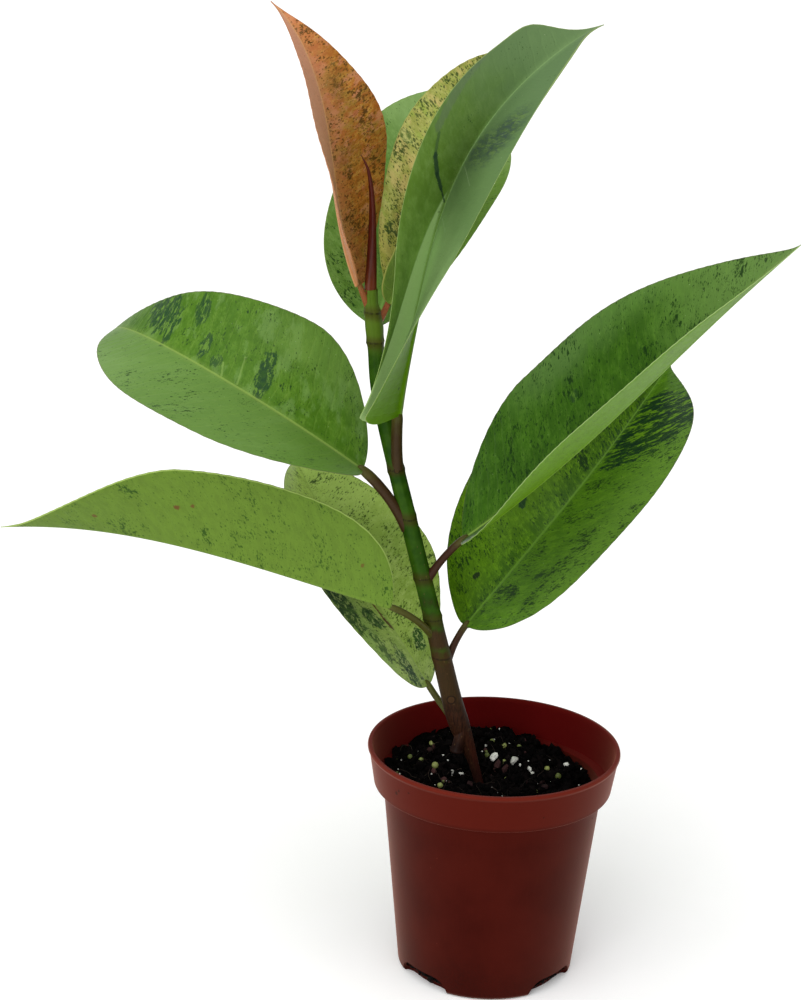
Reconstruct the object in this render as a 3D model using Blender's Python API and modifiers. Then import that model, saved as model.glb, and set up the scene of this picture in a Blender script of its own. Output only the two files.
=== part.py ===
"""Young rubber plant with mottled leaves, standing in a thin plastic nursery pot.

Metres, +Z up. The origin is the centre of the pot's flat underside, and the camera side is -Y.
Blender 4.5: blender --background --python part.py
"""

import math

import bmesh
import bpy
import numpy as np

MM = 0.001
GAP = 0.3 * MM

# Pot: outer radii and heights of its turned wall
RIM_RADIUS = 60.0 * MM
BAND_FOOT_RADIUS = 56.5 * MM
BODY_TOP_RADIUS = 52.0 * MM
FOOT_RADIUS = 42.0 * MM
POT_HEIGHT = 113.0 * MM
BAND_FOOT_HEIGHT = 94.0 * MM
LEDGE_RISE = 2.0 * MM
POT_WALL = 1.2 * MM
POT_FLOOR = 1.6 * MM
LIP_ROUND = 0.9 * MM
POT_SEGMENTS = 56

# Drain cut-outs in the corner between wall and floor
DRAIN_COUNT = 4
DRAIN_FIRST_ANGLE = math.radians(50)
DRAIN_SPREAD = math.radians(38)
DRAIN_HEIGHT = 6.5 * MM
DRAIN_DEPTH = 5.0 * MM

# Potting mix: high at the left and back, low at the right
SOIL_HEIGHT = 93.0 * MM
SOIL_SLOPE_X = -0.10
SOIL_SLOPE_Y = 0.08
SOIL_LUMP = 1.3 * MM
SOIL_GRID = 22

# Stem: centre line as (x, height) in millimetres, all in the plane y = 0
STEM_LINE = ((-3, 62), (-4, 84), (-11, 109), (-18, 129), (-33, 182), (-47, 234), (-59, 281), (-65, 333))
STEM_FOOT_RADIUS = 4.7 * MM
STEM_TOP_RADIUS = 3.0 * MM
STEM_POINTS = 52
NODE_HEIGHTS = (129, 158, 171, 199, 224, 250, 299, 311, 322)
NODE_SWELL = 0.5 * MM
NODE_REACH = 2.2 * MM
SPUR_LINE = ((-14, 0, 121), (-16, 1, 116), (-17.5, 2, 111))
SPUR_RADIUS = 3.0 * MM

# Bud sheath at the stem's top: the closed scale round the next leaf
SHEATH_LINE = ((-65.2, 0, 334), (-65, 0, 350), (-65.5, 0, 372), (-67.5, 0, 386), (-71, 0, 393))
SHEATH_RADII = (3.1, 3.0, 1.7, 0.9, 0.4)

# Leaf blades
BLADE_THICKNESS = 0.7 * MM
RIB_THICKNESS = 2.0 * MM
BLADE_STATIONS = 20
HALF_COLUMNS = 3
BASE_HALF_WIDTH = 1.3 * MM
TIP_HALF_WIDTH = 0.5 * MM
PETIOLE_RADIUS = 1.7 * MM
PETIOLE_GAP = 0.5 * MM
SWEEP_REACH = 0.12


class Leaf:
    """One leaf. Triples hold a value at the blade's base, middle and tip.

    heading turns from +X towards +Y, climb rises from level, roll lifts the right-hand half,
    fold lifts both halves from the rib, or the right one alone where fold_left has its own values,
    and curl bends each half further by its margin (degrees). sweep pushes the base's lobes forward.
    widest is the share of the length where the blade is widest. A larger lobe fills out the
    base, a larger shoulder fills out the blade beyond its widest place, and taper sharpens the tip.
    """

    def __init__(self, name, foot, base, length, half_width, heading, climb, roll, fold, fold_left=None,
                 curl=0, widest=0.45, taper=1.1, shoulder=2, lobe=2, sweep=0, colour=(0.16, 0.30, 0.07)):
        self.name = name
        self.foot = foot
        self.base = base
        self.length = length
        self.half_width = half_width
        self.heading = heading
        self.climb = climb
        self.roll = roll
        self.fold = fold
        self.fold_left = fold_left or fold
        self.curl = curl
        self.widest = widest
        self.taper = taper
        self.shoulder = shoulder
        self.lobe = lobe
        self.sweep = sweep
        self.colour = colour


# Lengths and places in millimetres. foot is where the petiole leaves the stem's centre line.
LEAVES = (
    Leaf("leaf_1_mottled", (-24, 0, 129), (-32, 13, 137), 150, 40, (158, 127, 103), (56, 33, 10),
         (-5, -2, -1), (1, 24, 46), widest=0.39, taper=1.05, shoulder=1.8, lobe=1.7,
         colour=(0.30, 0.42, 0.12)),
    Leaf("leaf_2_low_right", (-26, 0, 158), (-16, 8, 170), 197, 47, (30, 54, 64), (45, 28, 19),
         (11, -14, -24), (-6, 28, 47), widest=0.40, taper=1.6, shoulder=3.4, lobe=3.2),
    Leaf("leaf_3_low_left", (-30, 0, 171), (-51, -13, 186), 194, 46, (175, 165, 167), (14, 7, -11),
         (-39, -25, -8), (60, 46, 29), widest=0.53, taper=1.6, shoulder=1.7, lobe=3.2,
         colour=(0.24, 0.36, 0.09)),
    Leaf("leaf_4_right", (-37, 0, 199), (-19, -6, 218), 226, 46, (-16, -35, -39), (41, 48, 43),
         (-22, -38, -25), (22, 36, 12), widest=0.28, taper=1.2, shoulder=2.7, lobe=1.6),
    Leaf("leaf_5_left", (-44, 0, 224), (-66, -4, 249), 181, 49, (180, 143, 104), (35, 14, -19),
         (14, 26, 36), (17, 15, 8), widest=0.31, taper=0.95, shoulder=1.6, lobe=1.8),
    Leaf("leaf_6_tall_front", (-51, 0, 250), (-51, -14, 279), 230, 55, (-85, -25, 69), (54, 70, -3),
         (-139, -104, 22), (81, 69, 8), fold_left=(88, 76, 9), curl=5, widest=0.45, taper=1.7,
         shoulder=1.5, lobe=4.5, sweep=0.5,
         colour=(0.13, 0.25, 0.08)),
    Leaf("leaf_7_top_back", (-63, 0, 311), (-62, 12, 313), 166, 39, (79, 70, 62), (39, 32, 27),
         (3, -15, -31), (31, 21, 14), widest=0.47, taper=1.3, shoulder=2.8, lobe=3),
    Leaf("leaf_8_cream", (-64, 0, 321), (-57, 8, 325), 148, 32, (28, 50, 64), (69, 47, 24),
         (35, 17, 0), (17, 31, 43), curl=7, widest=0.44, taper=1.2, shoulder=2.8, lobe=2.2,
         colour=(0.62, 0.60, 0.28)),
    Leaf("leaf_9_young_orange", (-65, 0, 329), (-70, -2, 335), 134, 39, (148, 147, 154), (61, 77, 35),
         (-23, -11, 19), (16, 20, 25), widest=0.44, taper=1.65, shoulder=1.6, lobe=1.6,
         colour=(0.45, 0.17, 0.05)),
)

POT_COLOUR = (0.22, 0.035, 0.018)
SOIL_COLOUR = (0.012, 0.010, 0.009)
STEM_COLOUR = (0.10, 0.055, 0.030)
SHEATH_COLOUR = (0.16, 0.018, 0.014)


def clear_scene():
    for obj in list(bpy.data.objects):
        bpy.data.objects.remove(obj, do_unlink=True)


def new_collection(name):
    collection = bpy.data.collections.new(name)
    bpy.context.scene.collection.children.link(collection)
    return collection


def material(name, colour, roughness, metallic=0.0):
    made = bpy.data.materials.new(name)
    made.use_nodes = True
    shader = made.node_tree.nodes["Principled BSDF"]
    shader.inputs["Base Color"].default_value = (*colour, 1.0)
    shader.inputs["Roughness"].default_value = roughness
    shader.inputs["Metallic"].default_value = metallic
    return made


def mesh_object(name, points, faces, collection, finish=None):
    mesh = bpy.data.meshes.new(name)
    mesh.from_pydata([tuple(p) for p in points], [], [tuple(f) for f in faces])
    obj = bpy.data.objects.new(name, mesh)
    collection.objects.link(obj)
    if finish is not None:
        mesh.materials.append(finish)
    return obj


def apply_modifiers(obj):
    """Keep the shape that the modifiers make, as a plain mesh."""
    graph = bpy.context.evaluated_depsgraph_get()
    graph.update()
    made = bpy.data.meshes.new_from_object(obj.evaluated_get(graph))
    obj.modifiers.clear()
    obj.data = made


def boolean(obj, operation, other):
    """Cut obj by other, or join other to it. other is an object or a collection."""
    modifier = obj.modifiers.new(operation.lower(), "BOOLEAN")
    modifier.operation = operation
    if isinstance(other, bpy.types.Collection):
        modifier.operand_type = "COLLECTION"
        modifier.collection = other
    else:
        modifier.object = other


def helper(obj):
    obj.hide_render = True
    obj.display_type = "WIRE"


def turned(name, profile, collection, finish=None):
    """A closed solid turned about Z from a closed or axis-to-axis profile of (radius, height)."""
    points = [(r, 0, z) for r, z in profile]
    count = len(points)
    mesh = bpy.data.meshes.new(name)
    closed = profile[0][0] > 0 and profile[-1][0] > 0
    edges = [(i, (i + 1) % count) for i in range(count if closed else count - 1)]
    mesh.from_pydata(points, edges, [])
    obj = bpy.data.objects.new(name, mesh)
    collection.objects.link(obj)
    screw = obj.modifiers.new("turn", "SCREW")
    screw.angle = math.tau
    screw.steps = POT_SEGMENTS
    screw.render_steps = POT_SEGMENTS
    screw.use_merge_vertices = True
    screw.merge_threshold = 0.00001
    screw.use_normal_calculate = True
    if finish is not None:
        mesh.materials.append(finish)
    apply_modifiers(obj)
    turn_outwards(obj)
    return obj


def turn_outwards(obj):
    shape = bmesh.new()
    shape.from_mesh(obj.data)
    bmesh.ops.remove_doubles(shape, verts=shape.verts, dist=0.000002)
    bmesh.ops.recalc_face_normals(shape, faces=shape.faces)
    shape.to_mesh(obj.data)
    shape.free()


def smooth(obj, angle=40):
    obj.data.shade_smooth()
    obj.data.set_sharp_from_angle(angle=math.radians(angle))


def through_points(points, count):
    """count points on the smooth curve through the given ones (Catmull-Rom spline)."""
    knots = np.array(points, float)
    knots = np.vstack([2 * knots[0] - knots[1], knots, 2 * knots[-1] - knots[-2]])
    spans = len(knots) - 3
    place = np.linspace(0, spans, count)
    span = np.minimum(place.astype(int), spans - 1)
    t = (place - span)[:, None]
    a, b, c, d = (knots[span + k] for k in range(4))
    return 0.5 * (2 * b + (c - a) * t + (2 * a - 5 * b + 4 * c - d) * t**2 + (3 * b - a - 3 * c + d) * t**3)


def rod(name, points, radii, collection, finish=None, sides=2):
    """A tapered round rod along the points: a bevelled curve made into a closed mesh."""
    curve = bpy.data.curves.new(name, "CURVE")
    curve.dimensions = "3D"
    curve.bevel_depth = 1.0
    curve.bevel_resolution = sides
    curve.use_fill_caps = True
    spline = curve.splines.new("POLY")
    spline.points.add(len(points) - 1)
    for point, place, radius in zip(spline.points, points, radii):
        point.co = (*place, 1.0)
        point.radius = radius
    guide = bpy.data.objects.new(name + "_line", curve)
    collection.objects.link(guide)
    graph = bpy.context.evaluated_depsgraph_get()
    graph.update()
    mesh = bpy.data.meshes.new_from_object(guide.evaluated_get(graph))
    obj = bpy.data.objects.new(name, mesh)
    obj.matrix_world = guide.matrix_world
    collection.objects.link(obj)
    bpy.data.objects.remove(guide, do_unlink=True)
    mesh.materials.clear()
    if finish is not None:
        mesh.materials.append(finish)
    turn_outwards(obj)
    return obj


def pot_walls():
    """(outer, inner) runs of (radius, height), each from the foot to the lip."""
    outer = [
        (FOOT_RADIUS - 1.2 * MM, 0.0),
        (FOOT_RADIUS, 1.2 * MM),
        (BODY_TOP_RADIUS, BAND_FOOT_HEIGHT - LEDGE_RISE),
        (BAND_FOOT_RADIUS - 0.8 * MM, BAND_FOOT_HEIGHT),
        (BAND_FOOT_RADIUS, BAND_FOOT_HEIGHT + 1.0 * MM),
        (RIM_RADIUS - LIP_ROUND, POT_HEIGHT - 2.4 * MM),
        (RIM_RADIUS, POT_HEIGHT - 1.2 * MM),
        (RIM_RADIUS - 0.5 * LIP_ROUND, POT_HEIGHT - 0.1 * MM),
    ]
    inner = [
        (FOOT_RADIUS - POT_WALL - 1.0 * MM, POT_FLOOR),
        (FOOT_RADIUS - POT_WALL, POT_FLOOR + 1.0 * MM),
        (BODY_TOP_RADIUS - POT_WALL, BAND_FOOT_HEIGHT - LEDGE_RISE),
        (BODY_TOP_RADIUS - POT_WALL + 0.4 * MM, BAND_FOOT_HEIGHT + POT_WALL),
        (BAND_FOOT_RADIUS - POT_WALL, BAND_FOOT_HEIGHT + POT_WALL + 0.3 * MM),
        (RIM_RADIUS - POT_WALL - 1.2 * MM, POT_HEIGHT - 1.4 * MM),
        (RIM_RADIUS - POT_WALL - 0.9 * MM, POT_HEIGHT),
    ]
    return outer, inner


def make_pot(parts, cutters):
    outer, inner = pot_walls()
    floor = [(0.0, POT_FLOOR)]
    profile = floor + inner + outer[::-1] + [(0.0, 0.0)]
    pot = turned("pot", profile, parts, material("terracotta plastic", POT_COLOUR, 0.4))
    for number in range(DRAIN_COUNT):
        cutter = drain_cutter(number, cutters)
        boolean(pot, "DIFFERENCE", cutter)
    apply_modifiers(pot)
    smooth(pot)
    return pot


def drain_cutter(number, cutters):
    """A curved bar across the corner of wall and floor, one for each drain cut-out."""
    middle = DRAIN_FIRST_ANGLE + number * math.tau / DRAIN_COUNT
    angles = np.linspace(middle - DRAIN_SPREAD / 2, middle + DRAIN_SPREAD / 2, 7)
    section = (
        (FOOT_RADIUS - DRAIN_DEPTH, -2 * MM),
        (FOOT_RADIUS + 4 * MM, -2 * MM),
        (FOOT_RADIUS + 4 * MM, DRAIN_HEIGHT),
        (FOOT_RADIUS - DRAIN_DEPTH, DRAIN_HEIGHT),
    )
    points = [(r * math.cos(a), r * math.sin(a), z) for a in angles for r, z in section]
    size = len(section)
    faces = [
        (i * size + k, i * size + (k + 1) % size, (i + 1) * size + (k + 1) % size, (i + 1) * size + k)
        for i in range(len(angles) - 1)
        for k in range(size)
    ]
    faces += [tuple(range(size))[::-1], tuple(range(len(points) - size, len(points)))]
    cutter = mesh_object(f"drain_cutter_{number + 1}", points, faces, cutters)
    turn_outwards(cutter)
    helper(cutter)
    return cutter


def soil_height(x, y):
    """Slope of the potting mix with rounded lumps on it, in metres."""
    lumps = (
        np.sin(x * 310 + 1.0) * np.sin(y * 270 + 2.0)
        + 0.6 * np.sin(x * 620 + y * 180 + 0.5) * np.sin(y * 540 - x * 150 + 1.3)
    )
    return SOIL_HEIGHT + SOIL_SLOPE_X * x + SOIL_SLOPE_Y * y + SOIL_LUMP * lumps


def make_soil(parts, cutters, stem_cutter):
    """The pot's cavity, less the air above the mix and the hole that the stem stands in."""
    _, inner = pot_walls()
    cavity = [(0.0, POT_FLOOR + GAP)] + [(r - GAP, z + GAP) for r, z in inner[:6]]
    profile = cavity + [(0.0, POT_HEIGHT - 1.4 * MM + GAP)]
    soil = turned("potting_mix", profile[::-1], parts, material("peat mix", SOIL_COLOUR, 0.95))
    side = np.linspace(-64 * MM, 64 * MM, SOIL_GRID)
    x, y = np.meshgrid(side, side, indexing="ij")
    low = np.stack([x, y, soil_height(x, y)], -1).reshape(-1, 3)
    high = low.copy()
    high[:, 2] = POT_HEIGHT + 10 * MM
    count = SOIL_GRID
    cells = [(i * count + j, (i + 1) * count + j, (i + 1) * count + j + 1, i * count + j + 1)
             for i in range(count - 1) for j in range(count - 1)]
    total = count * count
    faces = [t for a, b, c, d in cells for t in ((a, b, c), (a, c, d))]
    faces += [tuple(total + v for v in reversed(t)) for t in list(faces)]
    edge = [i * count for i in range(count)] + [(count - 1) * count + j for j in range(1, count)]
    edge += [i * count + count - 1 for i in range(count - 2, -1, -1)] + [j for j in range(count - 2, 0, -1)]
    faces += [(edge[k], edge[(k + 1) % len(edge)], total + edge[(k + 1) % len(edge)], total + edge[k])
              for k in range(len(edge))]
    air = mesh_object("air_cutter", np.vstack([low, high]), faces, cutters)
    turn_outwards(air)
    helper(air)
    boolean(soil, "DIFFERENCE", air)
    boolean(soil, "DIFFERENCE", stem_cutter)
    apply_modifiers(soil)
    return soil


def stem_path():
    """Points on the stem's centre line and its radius at each, with a swelling at each node."""
    line = through_points([(x * MM, 0.0, z * MM) for x, z in STEM_LINE], STEM_POINTS)
    height = line[:, 2]
    share = (height - height[0]) / (height[-1] - height[0])
    radius = STEM_FOOT_RADIUS + (STEM_TOP_RADIUS - STEM_FOOT_RADIUS) * share
    for node in NODE_HEIGHTS:
        radius = radius + NODE_SWELL * np.exp(-(((height - node * MM) / NODE_REACH) ** 2))
    return line, radius


def petiole_path(leaf):
    """Points from the stem's centre line to just short of the blade, leaving in the blade's heading."""
    foot = np.array(leaf.foot) * MM
    base = np.array(leaf.base) * MM
    towards = direction(math.radians(leaf.heading[0]), math.radians(leaf.climb[0]))
    end = base - towards * PETIOLE_GAP
    run = np.linalg.norm(end - foot)
    t = np.linspace(0, 1, 7)[:, None]
    bend = end - towards * run * 0.4
    return (1 - t) ** 2 * foot + 2 * t * (1 - t) * bend + t**2 * end


def make_stem(parts, cutters):
    finish = material("stem bark", STEM_COLOUR, 0.5)
    line, radius = stem_path()
    stem = rod("stem", line, radius, parts, finish, sides=3)
    joined = bpy.data.collections.new("stem_joins")
    bpy.context.scene.collection.children.link(joined)
    for leaf in LEAVES:
        path = petiole_path(leaf)
        radii = np.linspace(PETIOLE_RADIUS * 1.25, PETIOLE_RADIUS, len(path))
        rod("petiole_" + leaf.name, path, radii, joined)
    spur = through_points([np.array(p) * MM for p in SPUR_LINE], 5)
    rod("cut_spur", spur, [SPUR_RADIUS] * 5, joined)
    boolean(stem, "UNION", joined)
    apply_modifiers(stem)
    for obj in list(joined.objects):
        bpy.data.objects.remove(obj, do_unlink=True)
    bpy.data.collections.remove(joined)
    smooth(stem, 60)
    hole = rod("stem_hole_cutter", line, radius + GAP, cutters, sides=3)
    helper(hole)
    return stem, hole


def direction(heading, climb):
    return np.stack([np.cos(climb) * np.cos(heading), np.cos(climb) * np.sin(heading), np.sin(climb)], -1)


def eased(triple, t):
    """The quadratic through a value at the base, the middle and the tip."""
    base, middle, tip = triple
    return base * (1 - t) * (1 - 2 * t) + middle * 4 * t * (1 - t) + tip * t * (2 * t - 1)


def blade_surface(leaf, t, u):
    """Points of the blade's upper side at shares t of its length and u (-1 left, 1 right) of its halves."""
    heading = np.radians(eased(leaf.heading, t))
    climb = np.radians(eased(leaf.climb, t))
    roll = np.radians(eased(leaf.roll, t))[:, None]
    fold = np.radians(eased(leaf.fold, t))[:, None]
    fold_left = np.radians(eased(leaf.fold_left, t))[:, None]
    fold = np.where(u[None, :] < 0, fold_left, fold)
    along = direction(heading, climb)
    steps = np.diff(t)[:, None] * (along[1:] + along[:-1]) / 2
    rib = np.vstack([np.zeros(3), np.cumsum(steps, axis=0)]) * leaf.length + np.array(leaf.base)
    level = np.stack([np.sin(heading), -np.cos(heading), 0 * heading], -1)
    upward = np.cross(level, along)
    right = level * np.cos(roll) + upward * np.sin(roll)
    upper = upward * np.cos(roll) - level * np.sin(roll)
    before = 1 - np.clip((leaf.widest - t) / leaf.widest, 0, 1) ** leaf.lobe
    after = 1 - np.clip((t - leaf.widest) / (1 - leaf.widest), 0, 1) ** leaf.shoulder
    half = leaf.half_width * np.where(t < leaf.widest, np.sqrt(before), after**leaf.taper)
    least = (BASE_HALF_WIDTH + (TIP_HALF_WIDTH - BASE_HALF_WIDTH) * t) / MM
    half = np.maximum(half, least)
    curl = math.radians(leaf.curl) + 1e-6
    share = np.abs(u)
    turned_by = fold + curl * share[None, :]
    out = (np.sin(turned_by) - np.sin(fold)) / curl
    lift = (np.cos(fold) - np.cos(turned_by)) / curl
    out = out * np.sign(u)[None, :] * half[:, None]
    lift = lift * half[:, None]
    swept = leaf.sweep * share[None, :] * half[:, None] * np.exp(-((t[:, None] / SWEEP_REACH) ** 2))
    points = rib[:, None] + out[..., None] * right[:, None] + lift[..., None] * upper[:, None]
    return (points + swept[..., None] * along[:, None]) * MM


def make_leaf(leaf, parts):
    """An open sheet of triangles given its thickness downwards, with a thick rib along its middle."""
    even = np.linspace(0, 1, BLADE_STATIONS)
    t = 0.35 * even + 0.65 * (1 - np.cos(math.pi * even)) / 2
    u = np.linspace(-1, 1, 2 * HALF_COLUMNS + 1)
    fine = np.linspace(0, 1, 8 * (BLADE_STATIONS - 1) + 1)
    fine = 0.35 * fine + 0.65 * (1 - np.cos(math.pi * fine)) / 2
    points = blade_surface(leaf, fine, u)[::8]
    rows, columns = len(t), len(u)
    faces = []
    for i in range(rows - 1):
        for j in range(columns - 1):
            a, b = i * columns + j, i * columns + j + 1
            c, d = (i + 1) * columns + j + 1, (i + 1) * columns + j
            faces += [(a, b, c), (a, c, d)] if j < HALF_COLUMNS else [(a, b, d), (b, c, d)]
    finish = material(leaf.name + " blade", leaf.colour, 0.35)
    blade = mesh_object(leaf.name, points.reshape(-1, 3), faces, parts, finish)
    rib = blade.vertex_groups.new(name="rib")
    for i in range(rows):
        rib.add([i * columns + HALF_COLUMNS], 1.0 - 0.6 * t[i], "REPLACE")
    shell = blade.modifiers.new("thickness", "SOLIDIFY")
    shell.thickness = RIB_THICKNESS
    shell.offset = -1.0
    shell.vertex_group = "rib"
    shell.thickness_vertex_group = BLADE_THICKNESS / RIB_THICKNESS
    smooth(blade)
    return blade


def make_sheath(parts):
    line = through_points([np.array(p) * MM for p in SHEATH_LINE], 14)
    share = np.linspace(0, 1, len(line))
    known = np.linspace(0, 1, len(SHEATH_RADII))
    radii = np.interp(share, known, SHEATH_RADII) * MM
    sheath = rod("bud_sheath", line, radii, parts, material("bud sheath", SHEATH_COLOUR, 0.4))
    smooth(sheath, 60)
    return sheath


def main():
    clear_scene()
    parts = new_collection("potted_rubber_plant")
    cutters = new_collection("cutters")
    make_pot(parts, cutters)
    _, hole = make_stem(parts, cutters)
    make_soil(parts, cutters, hole)
    make_sheath(parts)
    for leaf in LEAVES:
        make_leaf(leaf, parts)


main()
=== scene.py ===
# %% [markdown]
# # A young rubber plant in a nursery pot
#
# This notebook dresses a plain solid model of a potted rubber plant. The solids come
# from a CAD file and say where everything is and how big it is. Each cell replaces
# one of them by a finer surface and gives it a finish made from shader nodes.
#
# The order is: load the frame, set the camera, write a few helpers, then pot, potting
# mix, grains, stem, leaves, stalks and bud, and at the end the floor and the light.

import math

import bmesh
import bpy
import numpy as np
from mathutils import Matrix, Vector


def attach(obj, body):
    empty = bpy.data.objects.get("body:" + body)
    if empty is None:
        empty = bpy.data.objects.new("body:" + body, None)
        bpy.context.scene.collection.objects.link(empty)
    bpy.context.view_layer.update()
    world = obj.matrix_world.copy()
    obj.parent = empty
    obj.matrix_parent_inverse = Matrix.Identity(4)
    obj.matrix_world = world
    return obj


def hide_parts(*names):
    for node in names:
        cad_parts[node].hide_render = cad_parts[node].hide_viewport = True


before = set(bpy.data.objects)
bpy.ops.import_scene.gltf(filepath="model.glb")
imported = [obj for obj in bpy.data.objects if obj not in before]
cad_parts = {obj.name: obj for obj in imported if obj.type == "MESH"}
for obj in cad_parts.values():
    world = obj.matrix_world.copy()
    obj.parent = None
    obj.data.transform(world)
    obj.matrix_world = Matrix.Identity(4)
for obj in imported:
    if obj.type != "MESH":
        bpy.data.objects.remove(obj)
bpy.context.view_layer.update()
MM = 0.001


def add_object(name, data):
    """A new object in the scene, at the origin and unturned."""
    made = bpy.data.objects.new(name, data)
    bpy.context.scene.collection.objects.link(made)
    return made


print("solids to dress:", ", ".join(sorted(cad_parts)))

# %% [markdown]
# ## The camera
#
# A camera is a position, a direction and a focal length. The photograph was taken from
# a little above the leaves, 18.5 degrees down, with a long lens, and the plant leans
# against the picture's vertical by 2 degrees. A camera matrix has the picture's right,
# up and backward directions as its columns, so those three vectors are worked out
# first, and the same vectors later turn a place in the picture into a place on the mix.

# %% Set the camera
FRAME_WIDTH, FRAME_HEIGHT = 805, 1000
FOCAL_PIXELS = 2700
SENSOR_MM = 36
CAMERA_PLACE = np.array([-0.0475, -1.178, 0.628])
PITCH = math.radians(18.5)
TILT = math.radians(2.0)

camera_forward = np.array([0, math.cos(PITCH), -math.sin(PITCH)])
level_up = np.array([0, math.sin(PITCH), math.cos(PITCH)])
level_right = np.array([1.0, 0, 0])
camera_right = level_right * math.cos(TILT) + level_up * math.sin(TILT)
camera_up = level_up * math.cos(TILT) - level_right * math.sin(TILT)

lens = bpy.data.cameras.new("photo_lens")
lens.sensor_width = SENSOR_MM
lens.lens = FOCAL_PIXELS * SENSOR_MM / FRAME_HEIGHT
camera = add_object("photo_camera", lens)
turn = np.eye(4)
turn[:3, :3] = np.stack([camera_right, camera_up, -camera_forward], axis=1)
turn[:3, 3] = CAMERA_PLACE
camera.matrix_world = Matrix(turn.tolist())
bpy.context.scene.camera = camera
bpy.context.scene.view_settings.view_transform = "Standard"
print(f"lens {lens.lens:.1f} mm")

# %% [markdown]
# ## Surfaces from arrays
#
# Nearly every piece here is a sheet of points with two parameters, such as "how far
# round" and "how far up". numpy works out all its points at once, and one helper turns
# such a grid into a mesh. A grid may close on itself in its second direction, as a
# tube does, and its first and last rows may be closed by a face each.

# %% A grid of points becomes a mesh
def grid_faces(rows, columns, wrap):
    """Quads between neighbours: corner (i, j) joins (i, j+1), (i+1, j+1) and (i+1, j)."""
    i, j = np.meshgrid(np.arange(rows - 1), np.arange(columns if wrap else columns - 1), indexing="ij")
    k = (j + 1) % columns
    corners = [i * columns + j, i * columns + k, (i + 1) * columns + k, (i + 1) * columns + j]
    return np.stack(corners, -1).reshape(-1, 4)


def tube_faces(rows, columns, count=1):
    """The faces of closed tubes, one after another: quads round each and one face at each end."""
    first = np.arange(columns)[::-1]
    last = (rows - 1) * columns + np.arange(columns)
    one = [*grid_faces(rows, columns, True), first, last]
    return [face + k * rows * columns for k in range(count) for face in one]


def plain_mesh(name, points, faces):
    """A mesh from an array of points and a list of faces."""
    mesh = bpy.data.meshes.new(name)
    mesh.from_pydata(points.reshape(-1, 3).tolist(), [], [list(map(int, face)) for face in faces])
    return mesh


def new_piece(name, points, faces, material, replaced=()):
    """A smooth mesh object riding on the plant's one body."""
    mesh = plain_mesh(name, points, faces)
    mesh.polygons.foreach_set("use_smooth", np.ones(len(mesh.polygons), bool))
    mesh.materials.append(material)
    piece = add_object(name, mesh)
    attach(piece, "root")
    if replaced:
        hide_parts(*replaced)
    print(f"{name}: {len(mesh.vertices)} points, {len(mesh.polygons)} faces")
    return piece


def write_uv(piece, name, values):
    """Store two numbers for every point as a UV map, which a material reads by name."""
    mesh = piece.data
    corners = np.zeros(len(mesh.loops), np.int64)
    mesh.loops.foreach_get("vertex_index", corners)
    layer = mesh.uv_layers.new(name=name)
    layer.data.foreach_set("uv", values.reshape(-1, 2).astype(np.float32)[corners].ravel())


LATTICE = 64


def soft_noise(x, y, size, seed):
    """Smooth noise between -1 and 1 on a random lattice of that cell size, blended by 3t^2 - 2t^3."""
    lattice = np.random.default_rng(seed).uniform(-1, 1, (LATTICE, LATTICE))
    u, v = x / size, y / size
    i, j = np.floor(u).astype(int), np.floor(v).astype(int)
    s, t = u - i, v - j
    s, t = s * s * (3 - 2 * s), t * t * (3 - 2 * t)
    here, right = i % LATTICE, (i + 1) % LATTICE
    low, high = (lattice[here, k % LATTICE] * (1 - s) + lattice[right, k % LATTICE] * s for k in (j, j + 1))
    return low * (1 - t) + high * t


# %% [markdown]
# ## Finishes as arithmetic
#
# A shader is a graph of nodes. Written out link by link it is hard to read, so a small
# class wraps an output socket, and its plus, minus and times signs add Math nodes. A
# mask then reads like a formula: `speck * (1 - rib)`. The second class is one material.
# Its `node` method makes any other node, with its settings first and its sockets after.
# A few plain functions follow for the nodes that every finish needs. All colours are
# written as screen numbers from 0 to 255.

# %% Shader sockets that take part in formulas
class Wire:
    """One output socket of a node. Arithmetic with numbers or other wires adds Math nodes."""

    def __init__(self, finish, socket):
        self.finish = finish
        self.socket = socket

    def __add__(self, other):
        return self.finish.math("ADD", self, other)

    def __sub__(self, other):
        return self.finish.math("SUBTRACT", self, other)

    def __rsub__(self, other):
        return self.finish.math("SUBTRACT", other, self)

    def __mul__(self, other):
        return self.finish.math("MULTIPLY", self, other)

    def __truediv__(self, other):
        return self.finish.math("DIVIDE", self, other)

    def __rtruediv__(self, other):
        return self.finish.math("DIVIDE", other, self)

    def __abs__(self):
        return self.finish.math("ABSOLUTE", self)

    __radd__ = __add__
    __rmul__ = __mul__


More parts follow.
